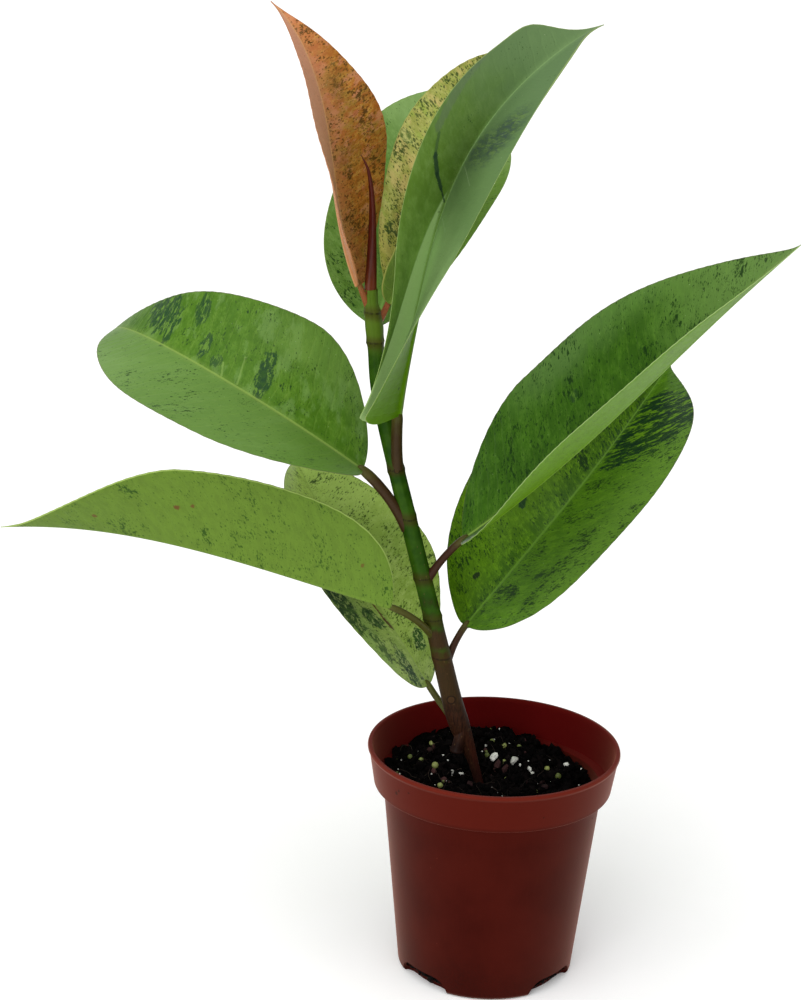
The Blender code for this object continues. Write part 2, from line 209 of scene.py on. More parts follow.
class Finish:
    """A node material with a Principled shader. Constants such as IOR go on the shader's own sockets."""

    def __init__(self, name, **constants):
        self.material = bpy.data.materials.new(name)
        self.material.use_nodes = True
        self.tree = self.material.node_tree
        self.shader = self.tree.nodes["Principled BSDF"]
        for socket, value in constants.items():
            self.shader.inputs[socket.replace("_", " ")].default_value = value

    def node(self, kind, settings=None, sockets=None, output=0):
        """Any node: its settings, its sockets by name or number, and which output to use (None: all)."""
        made = self.tree.nodes.new(kind)
        for key, value in (settings or {}).items():
            setattr(made, key, value)
        for key, value in (sockets or {}).items():
            if isinstance(value, Wire):
                self.tree.links.new(value.socket, made.inputs[key])
            else:
                made.inputs[key].default_value = value
        wires = [Wire(self, socket) for socket in made.outputs]
        return wires if output is None else wires[output]

    def math(self, operation, *values):
        """A Math node on numbers and wires."""
        return self.node("ShaderNodeMath", {"operation": operation}, dict(enumerate(values)))

    def place(self):
        """The point in the plant's own frame, in metres."""
        return self.node("ShaderNodeTexCoord", output=3)

    def uv(self, name):
        """The two numbers that the piece's UV map of that name stores."""
        return split(self.node("ShaderNodeUVMap", {"uv_map": name}))[:2]

    def set(self, **wires):
        """Connect wires to the shader's own sockets."""
        for socket, value in wires.items():
            self.tree.links.new(value.socket, self.shader.inputs[socket.replace("_", " ")])

    def made(self, colour, rough, height, depth, strength):
        """The finished material: its colour, its roughness and a relief of that depth in metres."""
        relief = self.node("ShaderNodeBump", {}, {"Strength": strength, "Distance": depth, "Height": height})
        self.set(Base_Color=colour, Roughness=rough, Normal=relief)
        print(f"{self.material.name}: {len(self.tree.nodes)} nodes")
        return self.material


# %% Functions on those sockets
def srgb(red, green, blue):
    """Screen colour numbers from 0 to 255 as the linear values that Blender mixes."""
    share = np.array([red, green, blue]) / 255
    linear = np.where(share <= 0.04045, share / 12.92, ((share + 0.055) / 1.055) ** 2.4)
    return tuple(float(v) for v in linear)


def smooth(value, low, high):
    """0 below low, 1 above high and a soft step between; high may be below low."""
    return value.finish.node("ShaderNodeMapRange", {"interpolation_type": "SMOOTHSTEP"},
                             {"Value": value, "From Min": low, "From Max": high})


def mix(share, first, second):
    """A colour that goes from first to second as share goes from 0 to 1.

    The colour inputs of a Mix node are its numbers 6 and 7, and its colour output is number 2.
    """
    first, second = (c if isinstance(c, Wire) else (*srgb(*c), 1.0) for c in (first, second))
    return share.finish.node("ShaderNodeMix", {"data_type": "RGBA"}, {0: share, 6: first, 7: second}, 2)


def paint(colour, *coats):
    """Lay coats over a colour one after another. Each coat is a mask and its colour."""
    for mask, coat in coats:
        colour = mix(mask, colour, coat)
    return colour


def vector(x, y, z=0.0):
    """Three numbers as one vector."""
    return x.finish.node("ShaderNodeCombineXYZ", {}, {0: x, 1: y, 2: z})


def split(place):
    """The three numbers of a vector."""
    return place.finish.node("ShaderNodeSeparateXYZ", {}, {0: place}, None)


def noise(place, scale, detail=2.0, roughness=0.5):
    """Cloudy noise between 0 and 1; detail is how many finer layers it has, roughness their weight."""
    return place.finish.node("ShaderNodeTexNoise", {}, {"Vector": place, "Scale": scale, "Detail": detail,
                                                        "Roughness": roughness})


def cells(place, scale, output=0, **settings):
    """Cells round scattered points: output 0 is the distance to the nearest point, 1 its random colour."""
    return place.finish.node("ShaderNodeTexVoronoi", settings, {"Vector": place, "Scale": scale}, output)


def norm(*parts):
    """The length of a vector: the root of the sum of its parts' squares."""
    return parts[0].finish.math("SQRT", sum(part * part for part in parts))


# %% [markdown]
# ## The pot's plastic
#
# The pot is thin injection-moulded polypropylene in terracotta red. It is satin, not
# glossy: lighter at its edges, which are seen at a flat angle, and darker face on. Up
# close it has faint flow streaks, pale specks in patches, a film of dirt near the foot
# and a few dirt spots. All of it follows the place in the pot, so one material serves
# every side.

# %% Terracotta plastic
# x, y, z and reach in millimetres
DIRT_SPOTS = [(-46, -36, 102.5, 1.3), (-44.6, -37.5, 104.5, 0.7), (-40, -42.5, 106, 0.5),
              (22, -53, 101, 0.5)]


def pot_plastic():
    """Red-brown plastic with little gloss; a warm sheen lights the edges, seen at a flat angle."""
    finish = Finish("satin terracotta plastic", Specular_IOR_Level=0.03, Specular_Tint=(0.9, 0.14, 0.09, 1.0),
                    Sheen_Weight=0.24, Sheen_Roughness=0.42, Sheen_Tint=(1.0, 0.40, 0.26, 1.0))
    place = finish.place()
    x, y, z = split(place)
    streak = noise(vector(x, y, z * 0.06), 900, 3, 0.6)
    cloud = noise(place, 28, 3, 0.55)
    dust = noise(place, 2600, 2, 0.6)
    pale = smooth(cells(place, 210), 0.05, 0.02) * smooth(cloud, 0.54, 0.62)
    # Painted light: the inner wall above the mix is painted brighter and redder than the outside, standing in
    # for the light inside the pot.
    inside = smooth(norm(x, y) - z * 0.184 - 0.039, -0.0004, -0.0009) * smooth(z, 0.0945, 0.0955)
    film = smooth(z + (cloud - 0.5) * 0.05, 0.030, 0.004) * smooth(dust, 0.40, 0.70)
    colour = paint(mix(smooth(cloud, 0.3, 0.7), (50, 9, 6), (60, 14, 9)),
                   (smooth(streak, 0.45, 0.75) * 0.2, (66, 18, 12)),
                   (pale, (120, 60, 50)),
                   # Painted light: the body's top, the rim band and the lip are painted lighter upwards, as
                   # where light falls from above.
                   (smooth(z, 0.080, 0.093) * 0.35, (80, 22, 15)),
                   (smooth(z, 0.0945, 0.0965) * 0.5, (82, 22, 14)),
                   (smooth(z, 0.1105, 0.1125) * 0.6, (104, 36, 26)),
                   (inside * 0.75, (84, 5, 9)),
                   (film * 0.6, (26, 10, 8)))
    for spot_x, spot_y, spot_z, reach in DIRT_SPOTS:
        far = norm(x - spot_x * MM, y - spot_y * MM, z - spot_z * MM)
        spot = smooth(far + (dust - 0.5) * 0.0016, reach * MM, reach * 0.6 * MM)
        colour = mix(spot * 0.9, colour, (16, 9, 7))
    rough = smooth(dust, 0.2, 0.9) * 0.10 + cloud * 0.10 + 0.34
    return finish.made(colour, rough, streak * 0.4 + noise(place, 1500) * 0.6, 0.00003, 0.5)


# %% [markdown]
# ## The pot
#
# A turned shape is a profile of (radius, height) swept round the axis. The profile is
# one closed loop: up the outside, over the lip, down the inside and back along the
# floor. It tapers from a wide rim band to the foot, and the band ends in a small ledge.
# The four drain cut-outs at the corner of wall and floor are Boolean cuts, because a
# hole changes how the faces join, which a grid can't do. Lengths are millimetres until
# a profile is multiplied by MM.

# %% Profile of the pot
RIM_RADIUS = 60.0
BAND_FOOT_RADIUS = 56.5
BODY_TOP_RADIUS = 52.0
FOOT_RADIUS = 42.0
POT_HEIGHT = 113.0
BAND_FOOT = 94.0
WALL = 1.2
FLOOR = 1.6
ROUND_SEGMENTS = 192


def rounded(corners, radius, steps=5):
    """Replace each inner corner of a polyline by a quadratic curve that starts and ends radius away."""
    points = [corners[0]]
    for before, corner, after in zip(corners, corners[1:], corners[2:]):
        before, corner, after = (np.array(p, float) for p in (before, corner, after))
        reach_in = min(radius, 0.45 * np.linalg.norm(before - corner))
        reach_out = min(radius, 0.45 * np.linalg.norm(after - corner))
        start = corner + (before - corner) / np.linalg.norm(before - corner) * reach_in
        end = corner + (after - corner) / np.linalg.norm(after - corner) * reach_out
        t = np.linspace(0, 1, steps)[:, None]
        points.extend((1 - t) ** 2 * start + 2 * t * (1 - t) * corner + t**2 * end)
    return np.array([*points, corners[-1]], float)


def turned(profile):
    """Rows are places on the profile, columns go round: (r cos a, r sin a, z)."""
    angle = np.linspace(0, math.tau, ROUND_SEGMENTS, endpoint=False)
    radius, height = profile[:, :1], profile[:, 1:]
    return np.stack([radius * np.cos(angle), radius * np.sin(angle), height + 0 * angle], -1)


def densified(profile, longest):
    """Split the long stretches of a profile so that no step is longer than the given length."""
    kept = [profile[0]]
    for a, b in zip(profile, profile[1:]):
        pieces = max(1, int(np.ceil(np.linalg.norm(b - a) / longest)))
        kept.extend(a + (b - a) * k / pieces for k in range(1, pieces + 1))
    return np.array(kept)


outer = [(0.4, 0), (FOOT_RADIUS - 1.2, 0), (FOOT_RADIUS, 1.4), (BODY_TOP_RADIUS, BAND_FOOT - 0.5),
         (BAND_FOOT_RADIUS - 0.3, BAND_FOOT), (BAND_FOOT_RADIUS, BAND_FOOT + 0.5),
         (RIM_RADIUS - 0.9, POT_HEIGHT - 2.6), (RIM_RADIUS, POT_HEIGHT - 1.2), (RIM_RADIUS - 0.4, POT_HEIGHT)]
inner = [(RIM_RADIUS - WALL - 0.9, POT_HEIGHT), (RIM_RADIUS - WALL - 1.3, POT_HEIGHT - 1.6),
         (BAND_FOOT_RADIUS - WALL, BAND_FOOT + 1.6), (BODY_TOP_RADIUS - WALL + 0.4, BAND_FOOT + 1.2),
         (BODY_TOP_RADIUS - WALL, BAND_FOOT - 2.0), (FOOT_RADIUS - WALL, FLOOR + 1.2),
         (FOOT_RADIUS - WALL - 1.2, FLOOR), (0.4, FLOOR)]
CORNER_RADIUS, LONGEST_STEP = 0.35, 6.0
pot_points = turned(densified(rounded(outer + inner, CORNER_RADIUS), LONGEST_STEP) * MM)
pot = new_piece("nursery_pot", pot_points, tube_faces(len(pot_points), ROUND_SEGMENTS), pot_plastic(),
                ["pot"])

# %% [markdown]
# Water leaves the pot through four slots where the wall meets the floor. Each is cut with
# a curved bar that is lower at its ends, so the slot gets rounded corners. The modifier's
# result is read back at once, which keeps the piece a plain mesh.

# %% Cut the four drain openings
DRAIN_MIDDLES = np.radians([43, 140, 222, 321])
DRAIN_SPREAD, DRAIN_HEIGHT, DRAIN_DEPTH = math.radians(43), 7.5, 5.0
BAR_SECTIONS, BAR_BEYOND, BAR_BELOW = 25, 4.0, -2.0


def drain_bar(middle):
    """A curved bar across the foot's corner: its height falls off in a rounded end at both sides."""
    share = np.linspace(-1, 1, BAR_SECTIONS)
    angle = middle + share * DRAIN_SPREAD / 2
    top = DRAIN_HEIGHT * (1 - share**6 * 0.8)
    near = FOOT_RADIUS - DRAIN_DEPTH * (1 - share**6 * 0.5)
    far, low = 0 * share + FOOT_RADIUS + BAR_BEYOND, 0 * share + BAR_BELOW
    radius, height = np.stack([near, near, far, far], 1), np.stack([low, top, top, low], 1)
    return np.stack([radius * np.cos(angle)[:, None], radius * np.sin(angle)[:, None], height], -1) * MM


def cut(piece, points):
    """Take a closed bar, given as rows of section points, out of a piece and keep the cut mesh."""
    bar = add_object("bar", plain_mesh("bar", points, tube_faces(*points.shape[:2])))
    modifier = piece.modifiers.new("opening", "BOOLEAN")
    modifier.operation = "DIFFERENCE"
    modifier.object = bar
    graph = bpy.context.evaluated_depsgraph_get()
    graph.update()
    mesh = bpy.data.meshes.new_from_object(piece.evaluated_get(graph))
    piece.modifiers.clear()
    piece.data = mesh
    bpy.data.objects.remove(bar, do_unlink=True)


for middle in DRAIN_MIDDLES:
    cut(pot, drain_bar(middle))
pot.data.shade_smooth()
pot.data.set_sharp_from_angle(angle=math.radians(40))
print("pot after the cuts:", len(pot.data.polygons), "faces")

# %% [markdown]
# ## The potting mix
#
# Peat mix is nearly black, damp and lumpy. It was filled unevenly: high at the left and
# the back, low at the right. Its upper side is a polar grid, rings of points from the
# middle to the wall, lifted by a height function, which is a slope plus noise of several
# sizes. The sides and the underside follow the pot's inside, since they show through
# the drain openings.

# %% Height and finish of the mix
# cell size in metres, seed, height in millimetres
LUMPS = [(0.006, 3, 1.4), (0.0026, 4, 1.2), (0.0013, 5, 0.6)]


def mix_height(x, y):
    """Slope of the mix plus its lumps: the solid's own two waves, then finer noise. Metres."""
    waves = (np.sin(x * 310 + 1.0) * np.sin(y * 270 + 2.0)
             + 0.6 * np.sin(x * 620 + y * 180 + 0.5) * np.sin(y * 540 - x * 150 + 1.3))
    fine = sum(soft_noise(x, y, size, seed) * high for size, seed, high in LUMPS)
    mound = 9.0 * np.exp(-((x + 0.002) / 0.026) ** 2 - ((y - 0.026) / 0.018) ** 2)
    return (92.6 + 1.2 * waves + fine + mound) * MM - 0.07 * x - 0.5 * x * x + 0.08 * y


def peat_finish():
    """Nearly black grains, browner in clumps, with a deep crumbly relief."""
    finish = Finish("damp peat", Specular_IOR_Level=0.02)
    place = finish.place()
    grain = noise(place, 900, 4, 0.7)
    clump = noise(place, 170, 3, 0.6)
    colour = mix(smooth(grain, 0.35, 0.72), (2, 2, 2), (10, 8, 8))
    colour = mix(smooth(clump, 0.55, 0.72) * 0.5, colour, (22, 14, 13))
    rough = smooth(grain, 0.3, 0.8) * -0.35 + 0.95
    return finish.made(colour, rough, grain * 0.7 + cells(place, 620) * 0.6, 0.0009, 0.9)


# %% [markdown]
# The mix is one closed skin: the underside from the middle outwards, the side up along
# the pot's wall, and the upper side back to the middle. It keeps 0.3 mm away from the
# plastic, so the two never share a face, and it sinks in a little behind each drain
# slot, where water washes some of it out.

# %% The body of mix
RINGS, SPOKES, SIDE_ROWS = 72, 210, 26
WALL_GAP = 0.3 * MM
MIX_FOOT = (FLOOR + 0.3) * MM
LEDGE = (BAND_FOOT + 1.2) * MM
INSIDE_HEIGHTS = [FLOOR * MM, LEDGE - 3 * MM, LEDGE, LEDGE + 2 * MM]
INSIDE_RADII = np.array([40.4, 50.45, 50.8, 54.6]) * MM


def inside_radius(height):
    """The pot's inner radius at a height, between the four places where its slope changes."""
    return np.interp(height, INSIDE_HEIGHTS, INSIDE_RADII)


def round_points(radius, height):
    """A ring of points at every height: (r cos a, r sin a, z) at the spokes' angles."""
    return np.stack([radius * np.cos(spoke), radius * np.sin(spoke), height], -1)


spoke = np.linspace(0, math.tau, SPOKES, endpoint=False)
ring = np.linspace(0.01, 1, RINGS)[:, None]
wall_reach = (BODY_TOP_RADIUS - WALL - 0.35) * MM
top = round_points(ring * wall_reach, np.zeros((RINGS, SPOKES)))
top[..., 2] = mix_height(top[..., 0], top[..., 1])
edge_radius = inside_radius(top[..., 2]) - WALL_GAP
top[..., :2] *= (edge_radius / wall_reach)[..., None] ** (ring[..., None] ** 6)
side_height = MIX_FOOT + np.linspace(1, 0, SIDE_ROWS)[1:, None] * (top[-1, :, 2] - MIX_FOOT)
side = round_points(inside_radius(side_height) - WALL_GAP, side_height)
notch_share = np.abs(spoke[:, None] - DRAIN_MIDDLES).min(axis=1) / (DRAIN_SPREAD / 2)
notch = np.clip(1.25 - notch_share, 0, 1) ** 0.5 * np.clip(1 - side_height / (10 * MM), 0, 1)
side[..., :2] *= (1 - 0.12 * notch)[..., None]
side[-1, :, :2] *= 0.97
under = side[-1:] * np.array([0.02, 0.02, 1.0])
mix_points = np.concatenate([under, side[::-1], top[::-1]])
new_piece("peat_mix", mix_points, tube_faces(len(mix_points), SPOKES), peat_finish(),
          ["potting_mix"])

# %% [markdown]
# ## Grains on the mix
#
# Loose crumbs of peat, white perlite, yellow-green beads of plant food, bark chips and
# root fibres lie on the mix. A crumb is a small faceted ball with its points moved in
# and out at random. One array holds all crumbs at once: the ball's points, times each
# crumb's own stretch and turn, plus its place. Each crumb also keeps one random number
# in a UV map, which the material turns into its shade. Some places come from the
# picture: a ray from the camera through that pixel is followed down to the mix.

# %% Scatter helpers
def ball(level):
    """Points and faces of a faceted ball: an icosahedron split the given number of times."""
    mesh = bpy.data.meshes.new("ball")
    shape = bmesh.new()
    bmesh.ops.create_icosphere(shape, subdivisions=level, radius=1.0)
    shape.to_mesh(mesh)
    shape.free()
    points = np.zeros(len(mesh.vertices) * 3)
    mesh.vertices.foreach_get("co", points)
    faces = np.array([list(p.vertices) for p in mesh.polygons])
    bpy.data.meshes.remove(mesh)
    return points.reshape(-1, 3), faces


def turns(count, rng):
    """Random rotation matrices, from random unit quaternions."""
    quaternions = rng.normal(size=(4, count))
    w, x, y, z = quaternions / np.linalg.norm(quaternions, axis=0)
    rows = [[1 - 2 * (y * y + z * z), 2 * (x * y - z * w), 2 * (x * z + y * w)],
            [2 * (x * y + z * w), 1 - 2 * (x * x + z * z), 2 * (y * z - x * w)],
            [2 * (x * z - y * w), 2 * (y * z + x * w), 1 - 2 * (x * x + y * y)]]
    return np.moveaxis(np.array(rows), -1, 0)


def crumbs(name, places, sizes, lift, rough, stretch, level, finish, seed):
    """Lumpy balls at the places: ball points times (1 + rough noise), stretched, turned and moved.

    Lift is how far a ball's middle lies above its place, as a share of its size.
    """
    rng = np.random.default_rng(seed)
    points, faces = ball(level)
    count = len(places)
    lumps = 1 + rough * rng.normal(size=(count, len(points), 1)).clip(-1.6, 1.6)
    shaped = points * lumps * (1 + stretch * rng.uniform(-1, 1, (count, 1, 3)))
    shaped = np.einsum("nij,nkj->nki", turns(count, rng), shaped) * sizes[:, None, None]
    shaped = shaped + (places + np.array([0, 0, 1]) * (lift * sizes)[:, None])[:, None]
    all_faces = faces[None] + (np.arange(count) * len(points))[:, None, None]
    piece = new_piece(name, shaped, all_faces.reshape(-1, 3), finish)
    piece.data.polygons.foreach_set("use_smooth", np.full(count * len(faces), level > 2))
    write_uv(piece, "lot", np.repeat(rng.uniform(0, 1, (count, 2)), len(points), axis=0))


NEAREST, FARTHEST, HALVINGS = 0.9, 1.6, 40


def on_mix(pixels):
    """Where the camera's rays through these pixels meet the mix, by halving the distance between bounds."""
    pixels = np.asarray(pixels, float)
    ray = (camera_forward + (pixels[:, :1] - FRAME_WIDTH / 2) / FOCAL_PIXELS * camera_right
           - (pixels[:, 1:] - FRAME_HEIGHT / 2) / FOCAL_PIXELS * camera_up)
    near, far = np.full(len(ray), NEAREST), np.full(len(ray), FARTHEST)
    for _ in range(HALVINGS):
        middle = (near + far) / 2
        point = CAMERA_PLACE + ray * middle[:, None]
        above = point[:, 2] > mix_height(point[:, 0], point[:, 1])
        near, far = np.where(above, middle, near), np.where(above, far, middle)
    point = CAMERA_PLACE + ray * near[:, None]
    point[:, 2] = mix_height(point[:, 0], point[:, 1])
    return point


def spread(count, reach, rng):
    """Random places on the mix, even over a disc of that radius."""
    radius, angle = reach * np.sqrt(rng.uniform(0, 1, count)), rng.uniform(0, math.tau, count)
    x, y = radius * np.cos(angle), radius * np.sin(angle)
    return np.stack([x, y, mix_height(x, y)], -1)


# %% Peat crumbs
def crumb_finish(name, low, high, roughness, grain_scale, relief_depth, gloss=0.1):
    """A dull grain whose shade goes from low to high with its own random number."""
    finish = Finish(name, Specular_IOR_Level=gloss)
    lot, _ = finish.uv("lot")
    grain = noise(finish.place(), grain_scale, 3, 0.6)
    colour = mix(smooth(lot * 0.7 + grain * 0.5, 0.2, 1.0), low, high)
    return finish.made(colour, grain * 0.2 + roughness, grain, relief_depth, 0.7)


rng = np.random.default_rng(11)
MIX_REACH = 49.5 * MM
CRUMB_COUNT = 3400
sizes = rng.uniform(0.45, 1.0, CRUMB_COUNT) ** 3.2 * 2.0 * MM
crumbs("peat_crumbs", spread(CRUMB_COUNT, MIX_REACH, rng), sizes, 0.35, 0.24, 0.60, 1,
       crumb_finish("peat crumb", (1, 1, 1), (13, 9, 9), 0.75, 1400, 0.0006, 0.03), 12)

# %% [markdown]
# Perlite is glass that was blown up by heat: white, rough and dull. The beads are plant
# food in a smooth shell, so they get nearly round balls with more faces and a little
# gloss. Bark bits are flat chips, which a strong random stretch gives. The larger ones
# stand where the photo shows them, and small ones are strewn at random.

# %% Perlite, plant food beads and bark
PERLITE_PIXELS = [(494, 759), (514, 763), (566, 767), (532, 775), (452, 775), (460, 776), (529, 770)]
PERLITE_SIZES = [2.0, 2.4, 1.6, 1.3, 1.6, 1.5, 1.2]
BEAD_PIXELS = [(432, 745), (421, 761), (435, 767), (492, 743), (504, 747), (513, 744), (519, 748),
               (504, 763), (558, 778), (440, 787), (487, 757), (547, 770), (410, 758)]
BARK_PIXELS = [(497, 767), (505, 770), (540, 785), (544, 789), (430, 752), (470, 786)]


def seen_and_spread(pixels, seen_sizes, count, smallest, largest):
    """Places and sizes (mm) of the grains that the photo shows at the pixels, then of loose ones.

    The seen sizes are either one for each pixel, or a range to draw them from.
    """
    places = np.vstack([on_mix(pixels), spread(count, MIX_REACH, rng)])
    if len(seen_sizes) != len(pixels):
        seen_sizes = rng.uniform(*seen_sizes, len(pixels))
    return places, np.concatenate([seen_sizes, rng.uniform(smallest, largest, count)]) * MM


crumbs("perlite_grains", *seen_and_spread(PERLITE_PIXELS, PERLITE_SIZES, 130, 0.25, 0.6), 0.55, 0.10, 0.25, 2,
       crumb_finish("perlite", (176, 176, 168), (236, 236, 228), 0.75, 1800, 0.0003), 13)
crumbs("feed_beads", *seen_and_spread(BEAD_PIXELS, (1.1, 1.6), 14, 0.7, 1.0), 0.6, 0.015, 0.10, 3,
       crumb_finish("plant food bead", (74, 84, 34), (138, 146, 82), 0.35, 700, 0.0002, 0.3), 14)
crumbs("bark_bits", *seen_and_spread(BARK_PIXELS, (1.6, 2.2), 40, 0.7, 1.5), 0.4, 0.12, 0.6, 1,
       crumb_finish("bark bit", (26, 13, 15), (72, 46, 44), 0.7, 900, 0.0004), 15)

# %% [markdown]
# Root fibres are thin bent threads. Each is a tube along a curve that wanders over the
# mix, and all of them are worked out in one array: the curve's points, two directions
# across it, and a small ring round each point.

# %% Root fibres
def frames_along(path, aside=(0, 0, 1)):
    """Unit directions along and across the paths. Across is square to the given direction as well."""
    along = np.gradient(path, axis=-2)
    along = along / np.linalg.norm(along, axis=-1, keepdims=True)
    across = np.cross(along, np.array(aside, float))
    across = across / np.maximum(np.linalg.norm(across, axis=-1, keepdims=True), 1e-9)
    return along, across, np.cross(across, along)


def tubes(path, radius, sides, aside=(0, 0, 1)):
    """A ring of points round every point of each path: centre + radius (cos a across + sin a over).

    The radius is one number for every point of a path, or one for every point of its ring.
    """
    _, across, over = frames_along(path, aside)
    angle = np.linspace(0, math.tau, sides, endpoint=False)
    ring_points = np.cos(angle)[:, None] * across[..., None, :] + np.sin(angle)[:, None] * over[..., None, :]
    if radius.ndim < path.ndim:
        radius = radius[..., None]
    return path[..., None, :] + radius[..., None] * ring_points


FIBRES, FIBRE_STEPS, FIBRE_SIDES = 60, 14, 5
# first and last fibre of a nest, and the pixels across and down between which it starts
FIBRE_NESTS = [(0, 20, (405, 455), (752, 784)), (20, 32, (478, 512), (744, 790))]
start = spread(FIBRES, MIX_REACH * 0.9, rng)
for first, last, across, down in FIBRE_NESTS:
    start[first:last] = on_mix(np.stack([rng.uniform(*span, last - first) for span in (across, down)], -1))
along_share = np.linspace(0, 1, FIBRE_STEPS)[None]
heading = rng.uniform(0, math.tau, (FIBRES, 1)) + rng.normal(size=(FIBRES, 1)) * 0.9 * along_share
reach = rng.uniform(6, 19, (FIBRES, 1)) * MM * along_share
fibre_x, fibre_y = start[:, :1] + reach * np.cos(heading), start[:, 1:2] + reach * np.sin(heading)
inside = np.minimum(1, MIX_REACH / np.hypot(fibre_x, fibre_y))
fibre_x, fibre_y = fibre_x * inside, fibre_y * inside
arch = rng.uniform(0.4, 2.6, (FIBRES, 1)) * MM * np.sin(math.pi * along_share)
fibre_path = np.stack([fibre_x, fibre_y, mix_height(fibre_x, fibre_y) + 0.3 * MM + arch], -1)
fibre_radius = np.linspace(1, 0.5, FIBRE_STEPS)[None] * rng.uniform(0.08, 0.16, (FIBRES, 1)) * MM
fibres = new_piece("root_fibres", tubes(fibre_path, fibre_radius, FIBRE_SIDES),
                   tube_faces(FIBRE_STEPS, FIBRE_SIDES, FIBRES),
                   crumb_finish("root fibre", (18, 14, 13), (60, 50, 44), 0.8, 700, 0.0001))
write_uv(fibres, "lot", np.repeat(rng.uniform(0, 1, (FIBRES, 2)), FIBRE_STEPS * FIBRE_SIDES, axis=0))

# %% [markdown]
# Behind each slot the mix is seen from the side, as damp crumbs. The same balls are
# packed there closely, between the pot's floor and the slot's upper edge.

# %% Crumbs that stick in the drain openings
DRAIN_CRUMBS = 640
drain_angles = np.repeat(DRAIN_MIDDLES, DRAIN_CRUMBS // len(DRAIN_MIDDLES))
drain_angles = drain_angles + rng.uniform(-0.5, 0.5, DRAIN_CRUMBS) * DRAIN_SPREAD
drain_radius = rng.uniform(35.0, 39.3, DRAIN_CRUMBS)
drain_places = np.stack([drain_radius * np.cos(drain_angles), drain_radius * np.sin(drain_angles),
                         rng.uniform(1.9, 7.0, DRAIN_CRUMBS)], -1) * MM
crumbs("drain_crumbs", drain_places, rng.uniform(0.4, 1.1, DRAIN_CRUMBS) * MM, 0, 0.22, 0.45, 1,
       crumb_finish("damp crumb", (4, 3, 3), (26, 18, 15), 0.75, 1400, 0.0004), 16)

# %% [markdown]
# ## The stem
#
# The stem leans to the left. It is brown, corky bark below and green higher up, with a
# red-brown ring at each node, where a leaf grows or has fallen. The centre line is a
# smooth curve through points given as x, height and radius in millimetres. The skin is
# a radius along it: a taper, a swelling at each node and faint ridges lengthwise. The
# ridges' noise doesn't close on itself round the stem, so it fades out at the seam.

# %% The stem's line and skin
STEM_LINE = [(-3.5, 62, 2.3), (-4, 84, 2.1), (-6.1, 92, 2.1), (-10, 105, 2.5), (-13.6, 114.5, 3.8),
             (-17.3, 124, 4.95), (-21.6, 138, 4.75), (-33, 182, 4.2), (-47, 234, 3.95), (-59, 281, 3.7),
             (-62, 306, 3.7), (-63, 316, 4.1), (-64.6, 326, 3.2), (-65, 333, 3.0)]
NODE_HEIGHTS = [158, 177, 197, 226, 249, 309, 323]
STEM_ROWS, STEM_SIDES = 420, 40
DEPTH = (0, 1, 0)


def through_points(points, count):
    """count points on the smooth curve through the given ones, a Catmull-Rom spline."""
    knots = np.array(points, float)
    knots = np.vstack([2 * knots[0] - knots[1], knots, 2 * knots[-1] - knots[-2]])
    spans = len(knots) - 3
    place = np.linspace(0, spans, count)
    span = np.minimum(place.astype(int), spans - 1)
    t = (place - span)[:, None]
    a, b, c, d = (knots[span + k] for k in range(4))
    return 0.5 * (2 * b + (c - a) * t + (2 * a - 5 * b + 4 * c - d) * t**2 + (3 * b - a - 3 * c + d) * t**3)


def bump_at(value, centre, reach):
    """A bell of height 1 round centre: exp of minus the squared distance in units of reach."""
    return np.exp(-(((value - centre) / reach) ** 2))


stem_x, stem_height, stem_radius = through_points(STEM_LINE, STEM_ROWS).T
stem_path = np.stack([stem_x, 0 * stem_x, stem_height], -1) * MM
for node in NODE_HEIGHTS:
    stem_radius = stem_radius + 0.28 * bump_at(stem_height, node, 1.8)
    stem_radius = stem_radius + 0.20 * bump_at(stem_height, node - 0.4, 0.5)
stem_angle = np.linspace(0, math.tau, STEM_SIDES, endpoint=False)
ridge = (soft_noise(stem_angle[None] * 3.2, stem_height[:, None] * 0.02, 1.0, 21) * 0.16
         + soft_noise(stem_angle[None] * 7.0, stem_height[:, None] * 0.12, 1.0, 22) * 0.08)
ridge = ridge * np.minimum(1, (math.pi - np.abs(stem_angle - math.pi)) / 0.6)
stem_points = tubes(stem_path, (stem_radius[:, None] + ridge) * MM, STEM_SIDES, DEPTH)

# %% [markdown]
# Young bark is a thin cork that grows over a green stem from below, so the colour follows
# the height, and a noise bends the border. Fine grain and pores are drawn out lengthwise
# by scaling z before the noise reads it. Scars are rings round three places that the
# photo shows.

# %% Bark
# x, height and reach in millimetres
STEM_SCARS = [(-21.4, 137.3, 2.0), (-50.5, 249.2, 1.3), (-12.4, 121.6, 0.9)]


